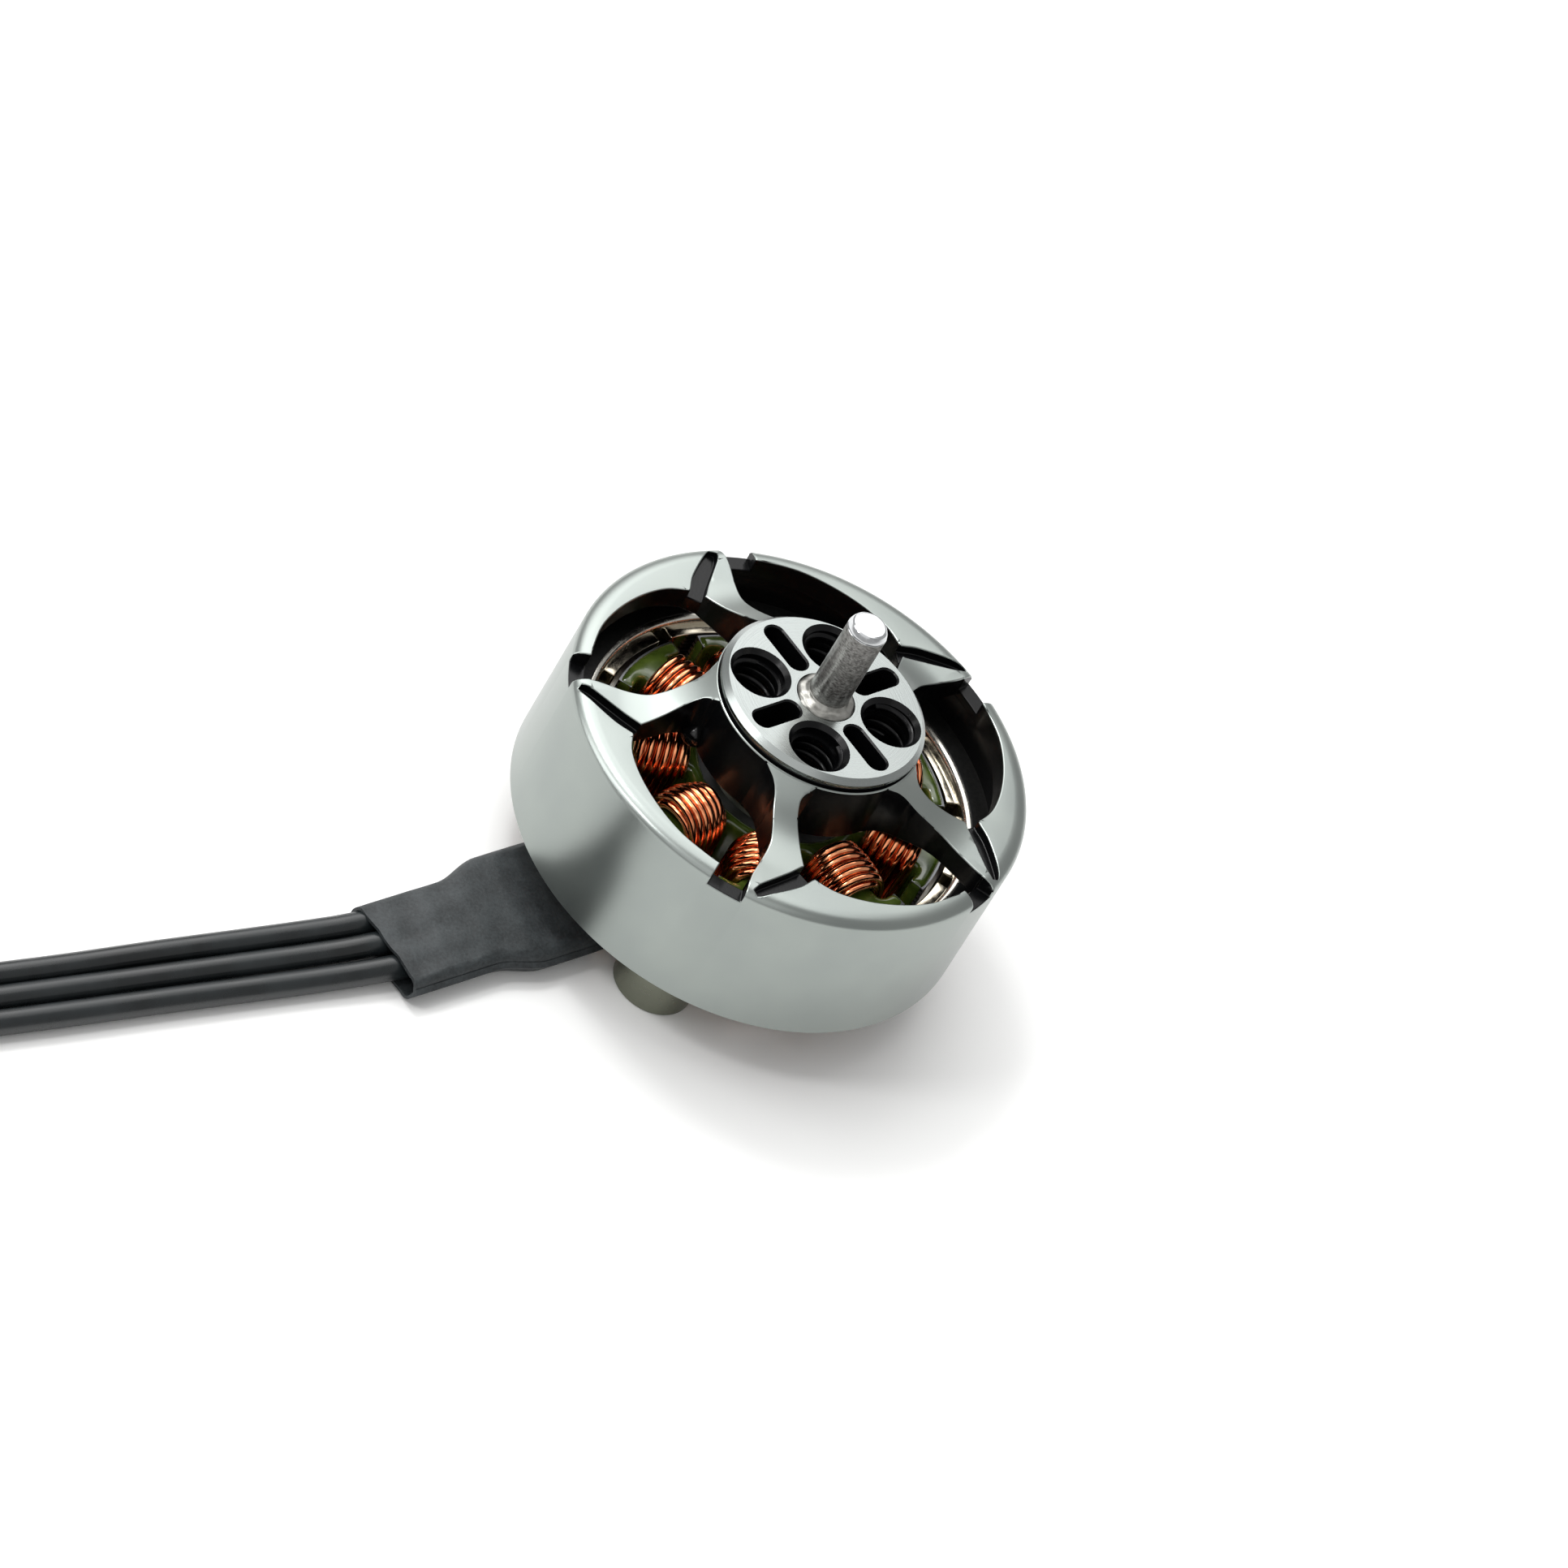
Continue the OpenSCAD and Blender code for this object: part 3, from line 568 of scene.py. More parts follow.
# Leads, along the routes of the part's own solids
leadSizes = {
    "diameter": 0.92, "length": 88.0,
    "coilCentre": Vector((-40, 1.2, 0.7)), "coilEntry": 275, "coilRadius": 4.38,
    "coilPitch": 1.36, "climbStart": 235, "climbSpan": 60, "coilStep": 7.5,
    "routeSteps": 3, "sides": 6,
}
leadRoutes = {
    "a": {"turns": 758, "route": [
        (-10, -0.1, 0.62), (-12.6, -0.8, 0.62), (-15.3, -1.45, 0.6), (-18.5, -1.75, 0.5),
        (-23.5, -2.2, 0.5), (-28.5, -2.7, 0.5), (-34, -3.05, 0.5)]},
    "b": {"turns": 579, "route": [
        (-9.7, -1.3, 0.62), (-12.6, -1.95, 0.62), (-15.7, -2.5, 0.6), (-18.5, -2.75, 0.5),
        (-23.5, -3.2, 0.5), (-28.5, -3.65, 0.5), (-34, -4.1, 0.5)]},
    "c": {"turns": 468, "route": [
        (-9.4, -2.5, 0.62), (-12.6, -3.1, 0.62), (-15.3, -3.52, 0.6), (-18.5, -3.8, 0.5),
        (-23.5, -4.22, 0.5), (-28.5, -4.67, 0.5), (-34, -5.12, 0.5)]},
}


def coilPoint(k, turnedBy):
    s = leadSizes
    a = s["coilEntry"] - turnedBy
    lift = s["coilPitch"] * (ease((turnedBy - s["climbStart"]) / s["climbSpan"])
                             + ease((turnedBy - 360 - s["climbStart"]) / s["climbSpan"]))
    return s["coilCentre"] + onCircle(s["coilRadius"] + k * s["coilPitch"], a, lift)


def coilHeading(turnedBy):
    a = math.radians(leadSizes["coilEntry"] - turnedBy)
    return Vector((math.sin(a), -math.cos(a), 0))


def leadPath(k, facts):
    s = leadSizes
    mouth = coilPoint(k, 0) - s["diameter"] * coilHeading(0)
    before = mouth - s["diameter"] * coilHeading(0)
    free = smoothCurve(facts["route"] + [tuple(before)], s["routeSteps"])
    steps = int(facts["turns"] / s["coilStep"])
    coil = [coilPoint(k, i * s["coilStep"]) for i in range(steps + 1)]
    end = coilPoint(k, facts["turns"])
    return free + [mouth] + coil + [end + s["diameter"] * coilHeading(facts["turns"])]


def makeLeads():
    s = leadSizes
    for k, (letter, facts) in enumerate(leadRoutes.items()):
        path = leadPath(k, facts)
        lead = tubeCurve("siliconeLead_" + letter, path, s["diameter"] / 2, s["sides"])
        lead.data.materials.append(finish["rubber"])
        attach(lead, "stator")
        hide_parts("lead_" + letter, "lead_" + letter + "_coil")


makeLeads()
print("camera and leads made")


# Bell: turned, then windows, notches, grooves and holes are milled
bellSizes = {
    "radius": 8.75, "cavity": 8.2, "low": 2.42, "under": 7.55, "skirtChamfer": 0.1,
    "rim": 8.5, "shoulderOut": 0.62, "shoulderDrop": 0.38, "shoulderSteps": 8,
    "arms": 5, "armSteps": 20, "armSlack": 0.05, "armCurve": 2.2,
    "rootTop": 9.9, "rootRadius": 3.95, "rootDrop": 0.1, "footRadius": 7.2,
    "plate": 3.9, "plateChamfer": 0.2, "plateLow": 0.36,
    "top": 10.45, "undercut": 0.15, "undercutTop": 0.4, "neckLift": 0.02,
    "boss": 1.305, "bossLow": 6.9, "overlap": 0.03, "seat": 3.4,
    "bore": 0.75, "boreTop": 0.12, "mouth": 1.12, "mouthChamfer": 0.1,
    "screws": 4, "screwCircle": 2.5, "screwTurn": 45,
    "notchFloor": 7.9, "notchFrom": 64, "notchTo": 73, "notchSlant": 1,
    "notchInner": 7.85, "notchOuter": 9.1, "notchSteps": (6, 4),
    "grooveDepth": 0.35, "cutTop": 9.6,
    "windowEdge": 8.13, "windowAngles": (64, 66, 68, 70),
    "windowLow": 6.4, "windowTop": 11.0,
    "outlineSteps": 5, "edge": 0.045, "merge": 0.006, "sides": 240,
}
armEdges = {
    "trailing": [(0.44, 15), (0.466, 11.2), (0.487, 8.6), (0.514, 8), (0.571, 9.4),
                 (0.64, 11.9), (0.743, 14.8)],
    "lip": [(0.794, 18.3), (0.839, 24.8), (0.871, 33.5), (0.898, 43.1), (0.92, 52.5),
            (0.929, 62)],
    "leading": [(0.44, -20), (0.463, -12.5), (0.48, -8.5), (0.511, -4.9), (0.566, -1.9),
                (0.629, 0.8), (0.697, 2.2), (0.789, 1.5), (0.88, 0.5), (0.929, 0.4)],
    "grooveInner": [(0.735, 16.5), (0.75, 14.3), (0.8, 10.6), (0.869, 6.2), (0.926, 3.3),
                    (0.966, 2.2)],
    "grooveOuter": [(0.982, 3.6), (0.966, 5.3), (0.906, 9.8), (0.851, 14.2), (0.8, 17.6),
                    (0.78, 20)],
}


def armTop(r):
    s = bellSizes
    across = s["footRadius"] - s["rootRadius"] + s["armSlack"]
    share = max(0.0, (s["footRadius"] - r) / across)
    return s["rim"] + (s["rootTop"] - s["rim"]) * share ** s["armCurve"]


def edgePoints(name, turn=0.0):
    s = bellSizes
    points = [onCircle(s["radius"] * share, a + turn) for share, a in armEdges[name]]
    return smoothCurve(points, s["outlineSteps"])


def bellProfile():
    s = bellSizes
    across = s["footRadius"] - s["rootRadius"]
    radii = [s["rootRadius"] + across * k / s["armSteps"] for k in range(s["armSteps"] + 1)]
    arm = [(s["seat"], s["rootTop"] - s["rootDrop"])] + [(r, armTop(r)) for r in radii]
    shoulder = []
    for k in range(s["shoulderSteps"] + 1):
        a = math.radians(90 - 90 * k / s["shoulderSteps"])
        shoulder.append((s["radius"] - s["shoulderOut"] + s["shoulderOut"] * math.cos(a),
                         s["rim"] - s["shoulderDrop"] + s["shoulderDrop"] * math.sin(a)))
    inner = [
        (s["seat"], s["under"]), (s["cavity"], s["under"]), (s["cavity"], s["low"]),
        (s["radius"] - s["skirtChamfer"], s["low"]), (s["radius"], s["low"] + s["skirtChamfer"]),
    ]
    return inner + shoulder[::-1] + arm[::-1]


def notchOutline():
    s = bellSizes
    span = s["notchTo"] - s["notchFrom"]
    inner = span - s["notchSlant"]
    there, back = s["notchSteps"]
    outline = [onCircle(s["notchOuter"], s["notchFrom"] + span * k / there)
               for k in range(there + 1)]
    outline += [onCircle(s["notchInner"], s["notchTo"] - s["notchSlant"] - inner * k / back)
                for k in range(back + 1)]
    return outline


def makeShell():
    s = bellSizes
    shell = turned("bellShell", bellProfile(), s["sides"])
    window = edgePoints("trailing") + edgePoints("lip")
    window += [onCircle(s["windowEdge"], a) for a in s["windowAngles"]]
    window += edgePoints("leading", 360 / s["arms"])[::-1]
    groove = edgePoints("grooveInner") + edgePoints("grooveOuter")
    for name, outline, low, high in (
            ("window", window, s["windowLow"], s["windowTop"]),
            ("groove", groove, s["rim"] - s["grooveDepth"], s["cutTop"]),
            ("notch", notchOutline(), s["notchFloor"], s["cutTop"])):
        cut(shell, copiesAround(prism(name, outline, low, high), s["arms"]))
    return shell


def makeHub():
    s = bellSizes
    neck = s["plate"] - s["undercut"]
    floor = s["under"] - s["overlap"]
    return turned("bellHub", [
        (s["bore"], s["bossLow"]), (s["boss"], s["bossLow"]), (s["boss"], floor),
        (s["rootRadius"], floor), (s["rootRadius"], s["rootTop"]),
        (neck, s["rootTop"] + s["neckLift"]), (neck, s["top"] - s["undercutTop"]),
        (s["plate"], s["top"] - s["plateLow"]), (s["plate"], s["top"] - s["plateChamfer"]),
        (s["plate"] - s["plateChamfer"], s["top"]), (s["mouth"], s["top"]),
        (s["mouth"] - s["mouthChamfer"], s["top"] - s["mouthChamfer"]),
        (s["bore"], s["top"] - s["boreTop"]),
    ], s["sides"])


def hubHole():
    s = {"radius": 1.0, "low": 6.0, "high": 10.28, "flare": 1.27, "over": 0.27, "sides": 48}
    deselect()
    bpy.ops.mesh.primitive_cylinder_add(
        vertices=s["sides"], radius=s["radius"], depth=s["high"] - s["low"],
        location=(0, 0, (s["high"] + s["low"]) / 2))
    hole = bpy.context.object
    bpy.ops.object.transform_apply(location=True)
    flareTop(hole, s["over"], s["flare"], s["flare"], 0)
    hole.data.transform(Matrix.Translation((bellSizes["screwCircle"], 0, 0)))
    return hole


def hubSlot():
    s = {"half": 0.39, "inner": 1.35, "outer": 3.45, "low": 6.0, "high": 10.39, "over": 0.3,
         "endSteps": 12}
    reach = (s["outer"] - s["inner"]) / 2
    middle = (s["outer"] + s["inner"]) / 2
    turns = [180 * k / s["endSteps"] for k in range(s["endSteps"] + 1)]
    far = [Vector((s["outer"] - s["half"], 0, 0)) + onCircle(s["half"], a - 90) for a in turns]
    near = [Vector((s["inner"] + s["half"], 0, 0)) + onCircle(s["half"], a + 90) for a in turns]
    slot = prism("hubSlot", far + near, s["low"], s["high"])
    longer = (reach + s["over"]) / reach
    wider = (s["half"] + s["over"]) / s["half"]
    flareTop(slot, s["over"], longer, wider, middle)
    return slot


# How far from a surface of the bell, and how squarely to it, a face may be and still belong to it
paintSizes = {
    "plateBand": 0.37, "topBand": 0.07, "topFacing": 0.93,
    "mouthSlack": 0.03, "rimSlack": 0.05, "rimFacing": 0.3,
    "skirtSlack": 0.05, "skirtFacing": 0.4,
    "shoulderFrom": 8.1, "shoulderBand": 0.39,
    "shoulderFacing": 0.3, "shoulderShare": 0.8,
    "armSlack": 0.05, "armBand": 0.08, "armFacing": 0.35,
    "footBand": 0.12,
}


def isShoulder(r, z):
    s = bellSizes
    out = (r - s["radius"] + s["shoulderOut"]) / s["shoulderOut"]
    up = (z - s["rim"] + s["shoulderDrop"]) / s["shoulderDrop"]
    return out ** 2 + up ** 2 > paintSizes["shoulderShare"]


def bellFinish(r, z, outward, up):
    s = bellSizes
    near = paintSizes
    silver, black, faced = 0, 1, 2
    if z > s["top"] - near["plateBand"]:
        isLevel = up > near["topFacing"] and z > s["top"] - near["topBand"]
        onTop = isLevel and r > s["mouth"] - near["mouthSlack"]
        outside = r > s["plate"] - s["plateChamfer"] - near["rimSlack"]
        return faced if onTop or (outside and outward > near["rimFacing"]) else black
    if r > s["radius"] - near["skirtSlack"] and outward > near["skirtFacing"]:
        return silver
    if (r > near["shoulderFrom"] and z > s["rim"] - near["shoulderBand"]
            and max(outward, up) > near["shoulderFacing"] and isShoulder(r, z)):
        return silver
    if (up > near["armFacing"] and r > s["rootRadius"] - near["armSlack"]
            and abs(z - armTop(r)) < near["armBand"]):
        return silver
    return silver if z < s["low"] + near["footBand"] and r > s["cavity"] else black


# Only what the last turning pass touched is bare and pale; the rest stays black.
def paintBell(bell):
    for face in bell.data.polygons:
        x, y, z = face.center / mm
        r = math.hypot(x, y)
        outward = (face.normal.x * x + face.normal.y * y) / max(r, 0.001)
        face.material_index = bellFinish(r, z, outward, face.normal.z)


def buildBell():
    s = bellSizes
    bell = makeShell()
    combine(bell, makeHub(), "UNION")
    cut(bell, copiesAround(hubHole(), s["screws"], s["screwTurn"]))
    cut(bell, copiesAround(hubSlot(), s["screws"]))
    cleanCut(bell, s["merge"])
    breakEdges(bell, s["edge"], 2, clamp=False)
    bell.data.transform(Matrix.Rotation(math.radians(restAngle), 4, "Z"))
    shadeSmooth(bell, 20)
    coats = [finish["silver"], finish["black"], finish["faced"]]
    settle(bell, "rotor", coats, ["bell"])
    paintBell(bell)
    print("bell made:", len(bell.data.polygons), "faces")


buildBell()


# Threads: a 0.4 mm helix stands out from the wall of each screw hole in the hub
threadSizes = {
    "radius": 1.0, "sink": 0.02, "depth": 0.14,
    "pitch": 0.4, "low": 7.6, "high": 10.15, "sides": 48,
}


def makeThreads():
    s = threadSizes
    turns = (s["high"] - s["low"]) / s["pitch"]
    path = [onCircle(s["radius"] - s["sink"], 360 * i / s["sides"],
                     s["low"] + s["pitch"] * i / s["sides"])
            for i in range(int(turns * s["sides"]))]
    crest = tubeMesh("hubThread", path, s["depth"], 1)
    crest.data.transform(Matrix.Translation((bellSizes["screwCircle"], 0, 0)))
    threads = copiesAround(crest, bellSizes["screws"], bellSizes["screwTurn"] + restAngle)
    threads.name = "hubThreads"
    shadeSmooth(threads, 60)
    settle(threads, "rotor", [finish["black"]])


makeThreads()


# Shaft, with a groove for the snap ring and a polished tip
shaftSizes = {
    "radius": 0.75, "foot": 0.107, "chamfer": 0.15,
    "clipLow": 0.36, "clipHigh": 0.555, "clipRadius": 0.6,
    "nose": [(0.0, 14.06), (0.015, 14.08), (0.015, 14.12), (0.04, 14.2), (0.1, 14.31),
             (0.15, 14.355), (0.2, 14.37)],
    "polished": 14.07, "tip": 14.37, "sides": 96,
}


def makeShaft():
    s = shaftSizes
    r = s["radius"]
    profile = [
        (0.0, s["foot"]), (r - s["chamfer"], s["foot"]), (r, s["foot"] + s["chamfer"]),
        (r, s["clipLow"]), (s["clipRadius"], s["clipLow"]), (s["clipRadius"], s["clipHigh"]),
        (r, s["clipHigh"]),
    ]
    profile += [(r - inset, z) for inset, z in s["nose"]] + [(0.0, s["tip"])]
    shaft = turned("groundShaft", profile, s["sides"])
    shadeSmooth(shaft, 14)
    settle(shaft, "rotor", [finish["shaft"], finish["bearing"]], ["shaft"])
    for face in shaft.data.polygons:
        face.material_index = 1 if face.center.z > s["polished"] * mm else 0


makeShaft()


# Bead of compound that locks the shaft in the hub, uneven as it set
beadSizes = {
    "profile": [(0.74, 10.3), (1.06, 10.3), (1.11, 10.4), (1.11, 10.47), (1.09, 10.53),
                (1.04, 10.58), (0.97, 10.61), (0.9, 10.63), (0.83, 10.66), (0.78, 10.7),
                (0.74, 10.75)],
    "smoothBelow": 10.46,
    "smoothInside": 0.8,
    "width": 0.97,
    "widthWaves": [(0.025, 5, 1), (0.012, 11, 0)],
    "wave": 0.03,
    "heightWaves": [(0.6, 4, 2), (0.4, 9, 0)],
    "sides": 96,
}


def rippled(value, waves, a):
    for size, times, shift in waves:
        value += size * math.sin(times * a + shift)
    return value


def makeBead():
    s = beadSizes
    bead = turned("shaftFillet", s["profile"], s["sides"])
    for vertex in bead.data.vertices:
        x, y, z = vertex.co
        if z > s["smoothBelow"] and math.hypot(x, y) > s["smoothInside"]:
            a = math.atan2(y, x)
            wide = rippled(s["width"], s["widthWaves"], a)
            high = rippled(0.0, s["heightWaves"], a)
            vertex.co = (x * wide, y * wide, z - s["wave"] + s["wave"] * high)
    shadeSmooth(bead, 80)
    settle(bead, "rotor", [finish["bead"]], ["shaft_bead"])


makeBead()


# Drop of balancing epoxy on the wall between the hub and an arm
dropSizes = {
    "place": (-4.06, 0.6, 7.86), "radius": 0.4,
    "thin": 0.85, "tall": 1.1, "sag": 0.35,
    "turn": 214, "segments": 32, "rings": 20,
}


def makeDrop():
    s = dropSizes
    deselect()
    bpy.ops.mesh.primitive_uv_sphere_add(segments=s["segments"], ring_count=s["rings"],
                                         radius=s["radius"])
    drop = bpy.context.object
    drop.name = "epoxyDrop"
    editAll()
    bpy.ops.transform.resize(value=(s["thin"], 1.0, s["tall"]), center_override=(0, 0, 0))
    leaveEdit()
    for vertex in drop.data.vertices:
        vertex.co.y *= 1 - s["sag"] * vertex.co.z / s["radius"]
    drop.data.transform(Matrix.Rotation(math.radians(s["turn"]), 4, "Z"))
    drop.data.transform(Matrix.Translation(s["place"]))
    shadeSmooth(drop, 80)
    settle(drop, "rotor", [finish["drop"]])


makeDrop()


# Flux ring, with a bright ground lip over the magnets
ringSizes = {
    "inner": 7.45, "outer": 8.2, "chamfer": 0.1,
    "low": 2.42, "top": 6.35, "lip": 7.2, "lipLow": 5.99,
    "lipEdge": [(0.28, 0.0), (0.25, 0.02), (0.15, 0.02), (0.08, 0.06), (0.025, 0.12), (0.0, 0.19)],
    "bright": 0.24, "sides": 240,
}


def makeFluxRing():
    s = ringSizes
    profile = [
        (s["inner"], s["low"]), (s["outer"] - s["chamfer"], s["low"]),
        (s["outer"], s["low"] + s["chamfer"]), (s["outer"], s["top"]),
    ]
    profile += [(s["lip"] + out, s["top"] - down) for out, down in s["lipEdge"]]
    profile += [(s["lip"], s["lipLow"]), (s["inner"], s["lipLow"])]
    ring = turned("fluxRingSteel", profile, s["sides"])
    shadeSmooth(ring, 30)
    settle(ring, "rotor", [finish["oxide"], finish["brightLip"]], ["flux_ring"])
    for face in ring.data.polygons:
        r = math.hypot(face.center.x, face.center.y) / mm
        z = face.center.z / mm
        face.material_index = 1 if r < s["lip"] + s["bright"] and z > s["lipLow"] else 0


magnetSizes = {
    "inner": 6.77, "outer": 7.45, "low": 2.6, "top": 5.99,
    "span": 25.39, "count": 12, "turn": 15,
    "edge": 0.06, "steps": 10,
}


def makeMagnets():
    s = magnetSizes
    half = s["span"] / 2
    turns = [s["span"] * k / s["steps"] for k in range(s["steps"] + 1)]
    outline = [onCircle(s["outer"], -half + a) for a in turns]
    outline += [onCircle(s["inner"], half - a) for a in turns]
    magnet = prism("arcMagnet", outline, s["low"], s["top"])
    breakEdges(magnet, s["edge"], 3)
    magnets = copiesAround(magnet, s["count"], restAngle + s["turn"])
    magnets.name = "arcMagnets"
    shadeSmooth(magnets, 40)
    settle(magnets, "rotor", [finish["nickel"]], ["magnets"])


makeFluxRing()
makeMagnets()
print("rotor made")


# Stator coat: the stack's outline grown by the coat, with melted edges
statorSizes = {
    "teeth": 9, "ring": 3.495, "bore": 3.0, "halfTooth": 0.75,
    "tipRoot": 5.95, "tipRadius": 6.565, "tipSpan": 30.4,
    "tipBends": (9, 12), "tipLift": 0.05, "tipSteps": 8, "gapSteps": 3,
    "low": 2.55, "top": 6.2,
    "boreLow": 2, "boreTop": 7, "boreSides": 96,
    "voxel": 0.1, "flow": 16,
}


def coatOutline():
    s = statorSizes
    root = math.degrees(math.asin(s["halfTooth"] / s["ring"]))
    neck = math.degrees(math.asin(s["halfTooth"] / s["tipRoot"]))
    pitch = 360 / s["teeth"]
    gap = pitch - 2 * root
    half = s["tipSpan"] / 2
    bends = [*s["tipBends"], half]
    under = s["tipRoot"] + s["tipLift"]
    outline = []
    for k in range(s["teeth"]):
        a = pitch * k
        outline += [onCircle(s["ring"], a - root), onCircle(s["tipRoot"], a - neck)]
        outline += [onCircle(under, a - t) for t in bends]
        outline += [onCircle(s["tipRadius"], a - half + s["tipSpan"] * i / s["tipSteps"])
                    for i in range(s["tipSteps"] + 1)]
        outline += [onCircle(under, a + t) for t in bends[::-1]]
        outline += [onCircle(s["tipRoot"], a + neck), onCircle(s["ring"], a + root)]
        outline += [onCircle(s["ring"], a + root + gap * i / s["gapSteps"])
                    for i in range(1, s["gapSteps"])]
    return outline


def makeCoat():
    s = statorSizes
    coat = prism("slotCoat", coatOutline(), s["low"], s["top"])
    bore = [(0, s["boreLow"]), (s["bore"], s["boreLow"]), (s["bore"], s["boreTop"]),
            (0, s["boreTop"])]
    cut(coat, turned("coatBore", bore, s["boreSides"]))
    modify(coat, "REMESH", mode="VOXEL", voxel_size=s["voxel"])
    modify(coat, "SMOOTH", factor=0.5, iterations=s["flow"])
    shadeSmooth(coat, 80)
    settle(coat, "stator", [finish["epoxy"]], ["stator_coat"])


makeCoat()


# Windings: two layers of round wire laid turn by turn over each tooth
wireSizes = {
    "wire": 0.3, "pitch": 0.305, "start": 3.66, "halfTooth": 0.75,
    "low": 2.55, "top": 6.2, "turns": 7, "nest": 0.87,
    "corner": 0.36, "outerCorner": 0.58, "cornerSlack": 0.02,
    "crown": 0.3, "sag": 0.1, "across": (0.5, 0.0, -0.5),
    "tuck": 0.13, "tuckTurns": 2,
    "stray": 0.045, "loose": 0.03, "belly": 0.04,
    "steps": 8, "sides": 3,
    "phases": "abc", "coils": 3, "coilTurn": 40,
    "seed": 14,
}


def loopPoints(halfWidth, halfHeight, corner, steps):
    points = []
    for signY, signZ, start in ((1, 1, 0), (-1, 1, 90), (-1, -1, 180), (1, -1, 270)):
        for i in range(steps):
            a = math.radians(start + 90 * i / (steps - 1))
            y = signY * (halfWidth - corner) + corner * math.cos(a)
            z = signZ * (halfHeight - corner) + corner * math.sin(a)
            points.append([y, z])
        if start in (0, 180):
            side = 1 if start == 0 else -1
            span = halfWidth - corner
            points += [[side * span * t, side * halfHeight] for t in wireSizes["across"]]
    for p in points:
        bow = max(0.0, 1 - (p[0] / halfWidth) ** 2)
        p[1] += bow * (wireSizes["crown"] if p[1] > 0 else -wireSizes["sag"])
    return points


def coilWire(dice):
    s = wireSizes
    middle = (s["low"] + s["top"]) / 2
    path = []
    for layer in range(2):
        offset = s["wire"] * (0.5 + s["nest"] * layer)
        count = s["turns"] - layer
        for turn in range(count):
            place = turn if layer == 0 else count - 1 - turn
            shift = dice.uniform(-s["stray"], s["stray"])
            bulge = math.sin(math.pi * (place + 0.5) / count)
            grow = dice.uniform(0, s["loose"]) + s["belly"] * layer * bulge
            tuck = s["tuck"] * layer * max(0.0, 1 - place / s["tuckTurns"])
            width = s["halfTooth"] + offset + grow - tuck
            height = (s["top"] - s["low"]) / 2 + offset + grow
            corner = (s["outerCorner"] if layer else s["corner"]) + offset
            loop = loopPoints(width, height, min(corner, width - s["cornerSlack"]), s["steps"])
            for i, (y, z) in enumerate(loop):
                run = i / len(loop)
                along = place + (run if layer == 0 else -run) + layer
                x = s["start"] + s["pitch"] * along + shift * math.sin(math.pi * run)
                path.append(Vector((x, y, middle + z)))
    return path


def makeWindings():
    s = wireSizes
    dice = random.Random(s["seed"])
    for phase, letter in enumerate(s["phases"]):
        coils = []
        for k in range(s["coils"]):
            coil = tubeMesh("coil", coilWire(dice), s["wire"] / 2, s["sides"])
            turn = math.radians(s["coilTurn"] * (phase + s["coils"] * k))
            coil.data.transform(Matrix.Rotation(turn, 4, "Z"))
            coils.append(coil)
        winding = joined(coils)
        winding.name = "copperWinding_" + letter
        shadeSmooth(winding, 80)
        stands = ["windings_phase_" + letter] + (["inner_windings"] if letter == "a" else [])
        settle(winding, "stator", [finish["copper"]], stands)


makeWindings()
print("windings made")


# Crossovers and tails: bundles of single wires under the stator
crossoverSizes = {
    "radii": (3.7, 6.0),
    "strands": [(-0.12, 1.6), (0.12, 1.6), (0.0, 1.68)],
    "wire": 0.09,
    "steps": 72,
}
tailSizes = {
    "heading": 194.5, "angles": (168, 180, 192),
    "radius": 6.1, "low": 1.62, "reach": 1.61,
    "bend": 0.3, "steps": 5,
    "strandTurns": (0, 120, 240),
    "twist": 14, "spread": 0.075, "wire": 0.07,
}


def bundle(name, wires, node):
    wiring = joined(wires)
    wiring.name = name
    shadeSmooth(wiring, 80)
    settle(wiring, "stator", [finish["copper"]], [node])


def makeCrossovers():
    s = crossoverSizes
    wires = []
    for radius in s["radii"]:
        for aside, z in s["strands"]:
            ring = [onCircle(radius + aside, 360 * i / s["steps"], z)
                    for i in range(s["steps"] + 1)]
            wires.append(tubeMesh("crossover", ring, s["wire"], 1))
    bundle("crossoverBundle", wires, "crossover_wires")


def makeTails():
    s = tailSizes
    along = onCircle(1, s["heading"])
    wires = []
    for angle, facts in zip(s["angles"], leadRoutes.values()):
        start = onCircle(s["radius"], angle, s["low"])
        end = Vector(facts["route"][0]) - s["reach"] * along
        out = onCircle(s["bend"], angle)
        dip = (start + end) / 2 + out
        route = [start, start + out, dip, end - s["bend"] * along, end]
        path = smoothCurve(route, s["steps"])
        for turn in s["strandTurns"]:
            strand = []
            for i, p in enumerate(path):
                twist = math.radians(turn + s["twist"] * i)
                strand.append(p + Vector((0, math.cos(twist), math.sin(twist))) * s["spread"])
            wires.append(tubeMesh("tail", strand, s["wire"], 1))
    bundle("tailBundle", wires, "winding_tails")


makeCrossovers()
makeTails()


# Sleeve: a flat tube shrunk over the three leads, stepped where it leaves the joints
sleeveSizes = {
    "start": Vector((-6.77, -0.68, 0.62)), "heading": 194.5,
    "length": 8.43, "width": 4.95, "endWidth": 3.95,
    "height": 1.24, "wall": 0.12,
    "narrowFrom": 0.3, "narrowOver": 0.25,
    "leadsFrom": 0.35, "leadsOver": 0.3, "leadDip": 0.09, "leads": 3,
    "wrinkle": 0.07, "waves": ((15, 3), (5, 2)), "flat": 3,
    "stations": 44, "sides": 72,
}


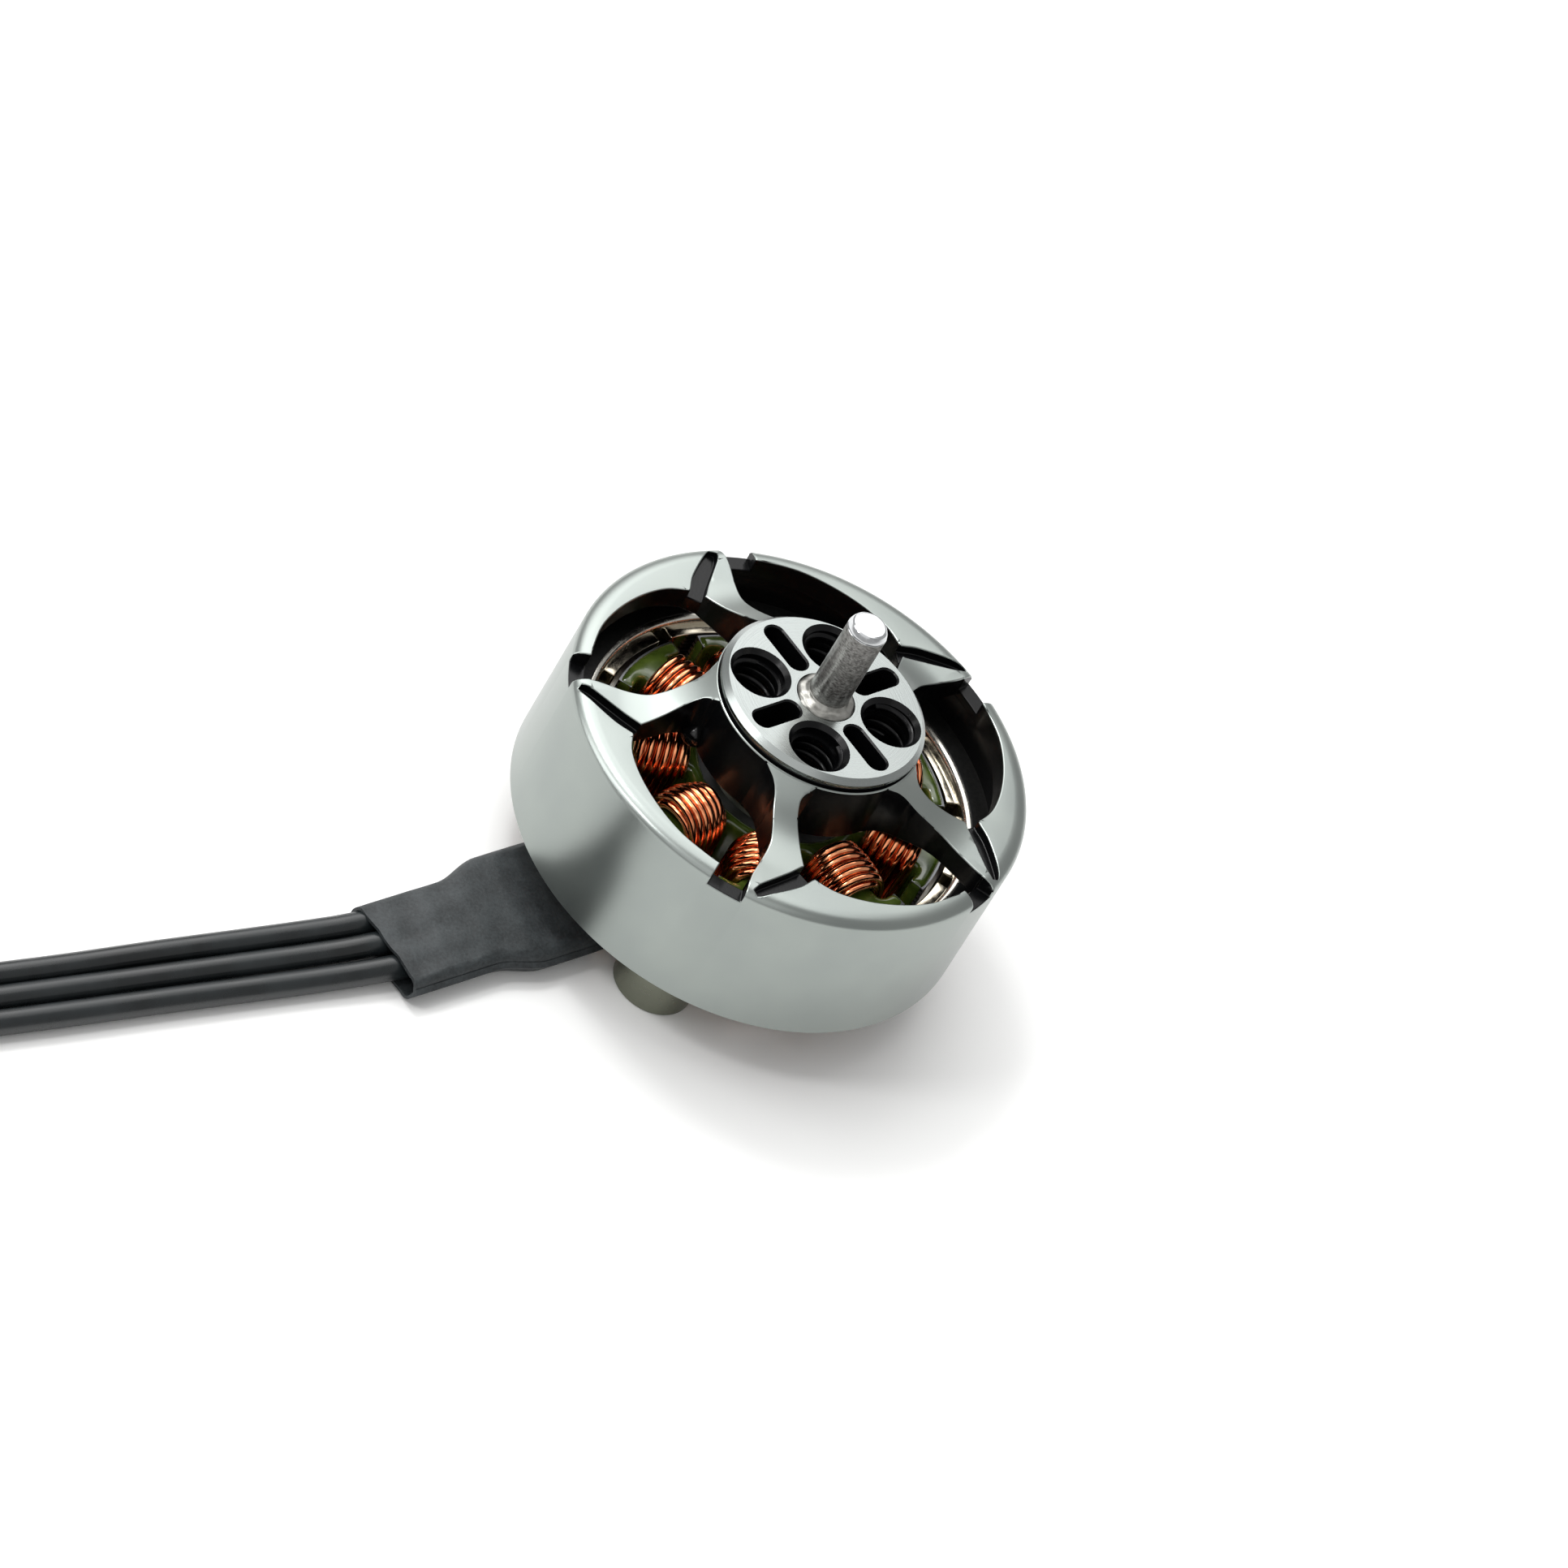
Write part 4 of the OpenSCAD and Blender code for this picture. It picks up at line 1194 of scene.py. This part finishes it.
def sleeveSection(share):
    s = sleeveSizes
    narrow = ease((share - s["narrowFrom"]) / s["narrowOver"])
    half = (s["width"] - (s["width"] - s["endWidth"]) * narrow) / 2
    tall = s["height"] / 2
    dip = s["leadDip"] * ease((share - s["leadsFrom"]) / s["leadsOver"])
    along = onCircle(1, s["heading"])
    side = Vector((0, 0, 1)).cross(along)
    points = []
    for k in range(s["sides"]):
        a = 2 * math.pi * (k + 0.5) / s["sides"]
        flat = math.copysign(1, math.cos(a)) * min(1.0, abs(math.cos(a)) * s["flat"])
        across = tall * math.cos(a) + (half - tall) * flat
        between = 0.5 - 0.5 * math.cos(2 * math.pi * (across / half * s["leads"] / 2 + 0.5))
        wave = math.prod(math.sin(p * share + q * a) for p, q in s["waves"])
        up = (tall - dip * between) * math.sin(a) * (1 - s["wrinkle"] * abs(wave))
        middle = s["start"] + share * s["length"] * along
        points.append(middle + across * side + Vector((0, 0, up)))
    return points


# The tube is pulled out ring by ring, and each ring is then set to its own section.
def makeSleeve():
    s = sleeveSizes
    rings = [sleeveSection(i / s["stations"]) for i in range(s["stations"] + 1)]
    sleeve = drawOutline("shrinkSleeve", rings[0])
    bpy.ops.object.mode_set(mode="EDIT")
    for before, after in zip(rings, rings[1:]):
        step = sum(((b - a) for a, b in zip(before, after)), Vector()) / len(after)
        bpy.ops.mesh.extrude_edges_move(TRANSFORM_OT_translate={"value": step})
    leaveEdit()
    places = [value for ring in rings for p in ring for value in p]
    sleeve.data.vertices.foreach_set("co", places)
    sleeve.data.update()
    choose(sleeve)
    editAll()
    bpy.ops.mesh.normals_make_consistent(inside=False)
    leaveEdit()
    modify(sleeve, "SOLIDIFY", thickness=s["wall"], offset=-1)
    shadeSmooth(sleeve, 50)
    settle(sleeve, "stator", [finish["sleeve"]], ["sleeve"])


makeSleeve()
print("sleeve made")


# Base: the part's own solid, merged and with its edges broken
def makeBase():
    s = {"merge": 0.001, "flat": 2, "mergeCut": 0.004, "edge": 0.06}
    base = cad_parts["base"].copy()
    base.data = base.data.copy()
    bpy.context.collection.objects.link(base)
    base.name = "footedBase"
    base.data.transform(Matrix.Scale(1 / mm, 4))
    choose(base)
    editAll()
    bpy.ops.mesh.remove_doubles(threshold=s["merge"])
    bpy.ops.mesh.dissolve_limited(angle_limit=math.radians(s["flat"]))
    leaveEdit()
    cleanCut(base, s["mergeCut"])
    breakEdges(base, s["edge"], 2, clamp=False)
    shadeSmooth(base, 20)
    settle(base, "stator", [finish["base"]], ["base"])


makeBase()


# Every carried-over node gets its finish.
nodeFinishes = {
    "bearing": ["upper_inner_race", "lower_inner_race", "upper_outer_race", "lower_outer_race",
                "upper_balls", "lower_balls", "upper_shields", "lower_shields"],
    "brass": ["upper_shim", "lower_shim", "upper_cage", "lower_cage"],
    "stack": ["stator_core"],
    "glue": ["magnet_adhesive"],
    "spring": ["retaining_clip"],
    "solder": ["solder_joints", "tinned_ends"],
    "tie": ["coil_tie"],
}


def dressNodes():
    for look, names in nodeFinishes.items():
        for name in names:
            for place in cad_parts[name].material_slots:
                place.material = finish[look]


dressNodes()


# Studio: a pale floor, four soft boxes, and two small lamps for the glints
studio = {
    "floor": {"size": 1.2, "low": -0.00002, "colour": "#F4F4F3", "roughness": 0.9},
    "air": {"colour": "#FFFFFF", "strength": 0.5},
    "aim": (0, 0, 6),
    "lamps": {
        "overhead": {"place": (30, 215, 390), "size": 500, "power": 1.4},
        "behind": {"place": (90, 260, 225), "size": 240, "power": 0.2},
        "left": {"place": (-300, 150, 200), "size": 220, "power": 0.48},
        "spark": {"place": (-250, 30, 300), "size": 56, "power": 0.22},
        "glint": {"place": (-70, 190, 330), "size": 64, "power": 0.3},
        "front": {"place": (-220, -212, 290), "size": 420, "power": 0.3},
    },
}


def makeLamp(name, lamp):
    light = bpy.data.lights.new(name, "AREA")
    light.energy = lamp["power"]
    light.size = lamp["size"] * mm
    item = bpy.data.objects.new(name, light)
    item.location = Vector(lamp["place"]) * mm
    ahead = Vector(studio["aim"]) * mm - item.location
    item.rotation_euler = ahead.to_track_quat("-Z", "Y").to_euler()
    bpy.context.collection.objects.link(item)


def makeStudio():
    paper, air = studio["floor"], studio["air"]
    deselect()
    bpy.ops.mesh.primitive_plane_add(size=paper["size"], location=(0, 0, paper["low"]))
    floor = bpy.context.object
    floor.name = "studioFloor"
    floor.data.materials.append(newMaterial("palePaper", paper["colour"], 0.0, paper["roughness"]))
    for name, lamp in studio["lamps"].items():
        makeLamp(name, lamp)
    world = bpy.data.worlds.new("studioAir")
    world.use_nodes = True
    background = world.node_tree.nodes["Background"]
    background.inputs["Color"].default_value = hexColour(air["colour"])
    background.inputs["Strength"].default_value = air["strength"]
    bpy.context.scene.world = world
    bpy.context.scene.view_settings.view_transform = "Standard"


makeStudio()
print("studio made")
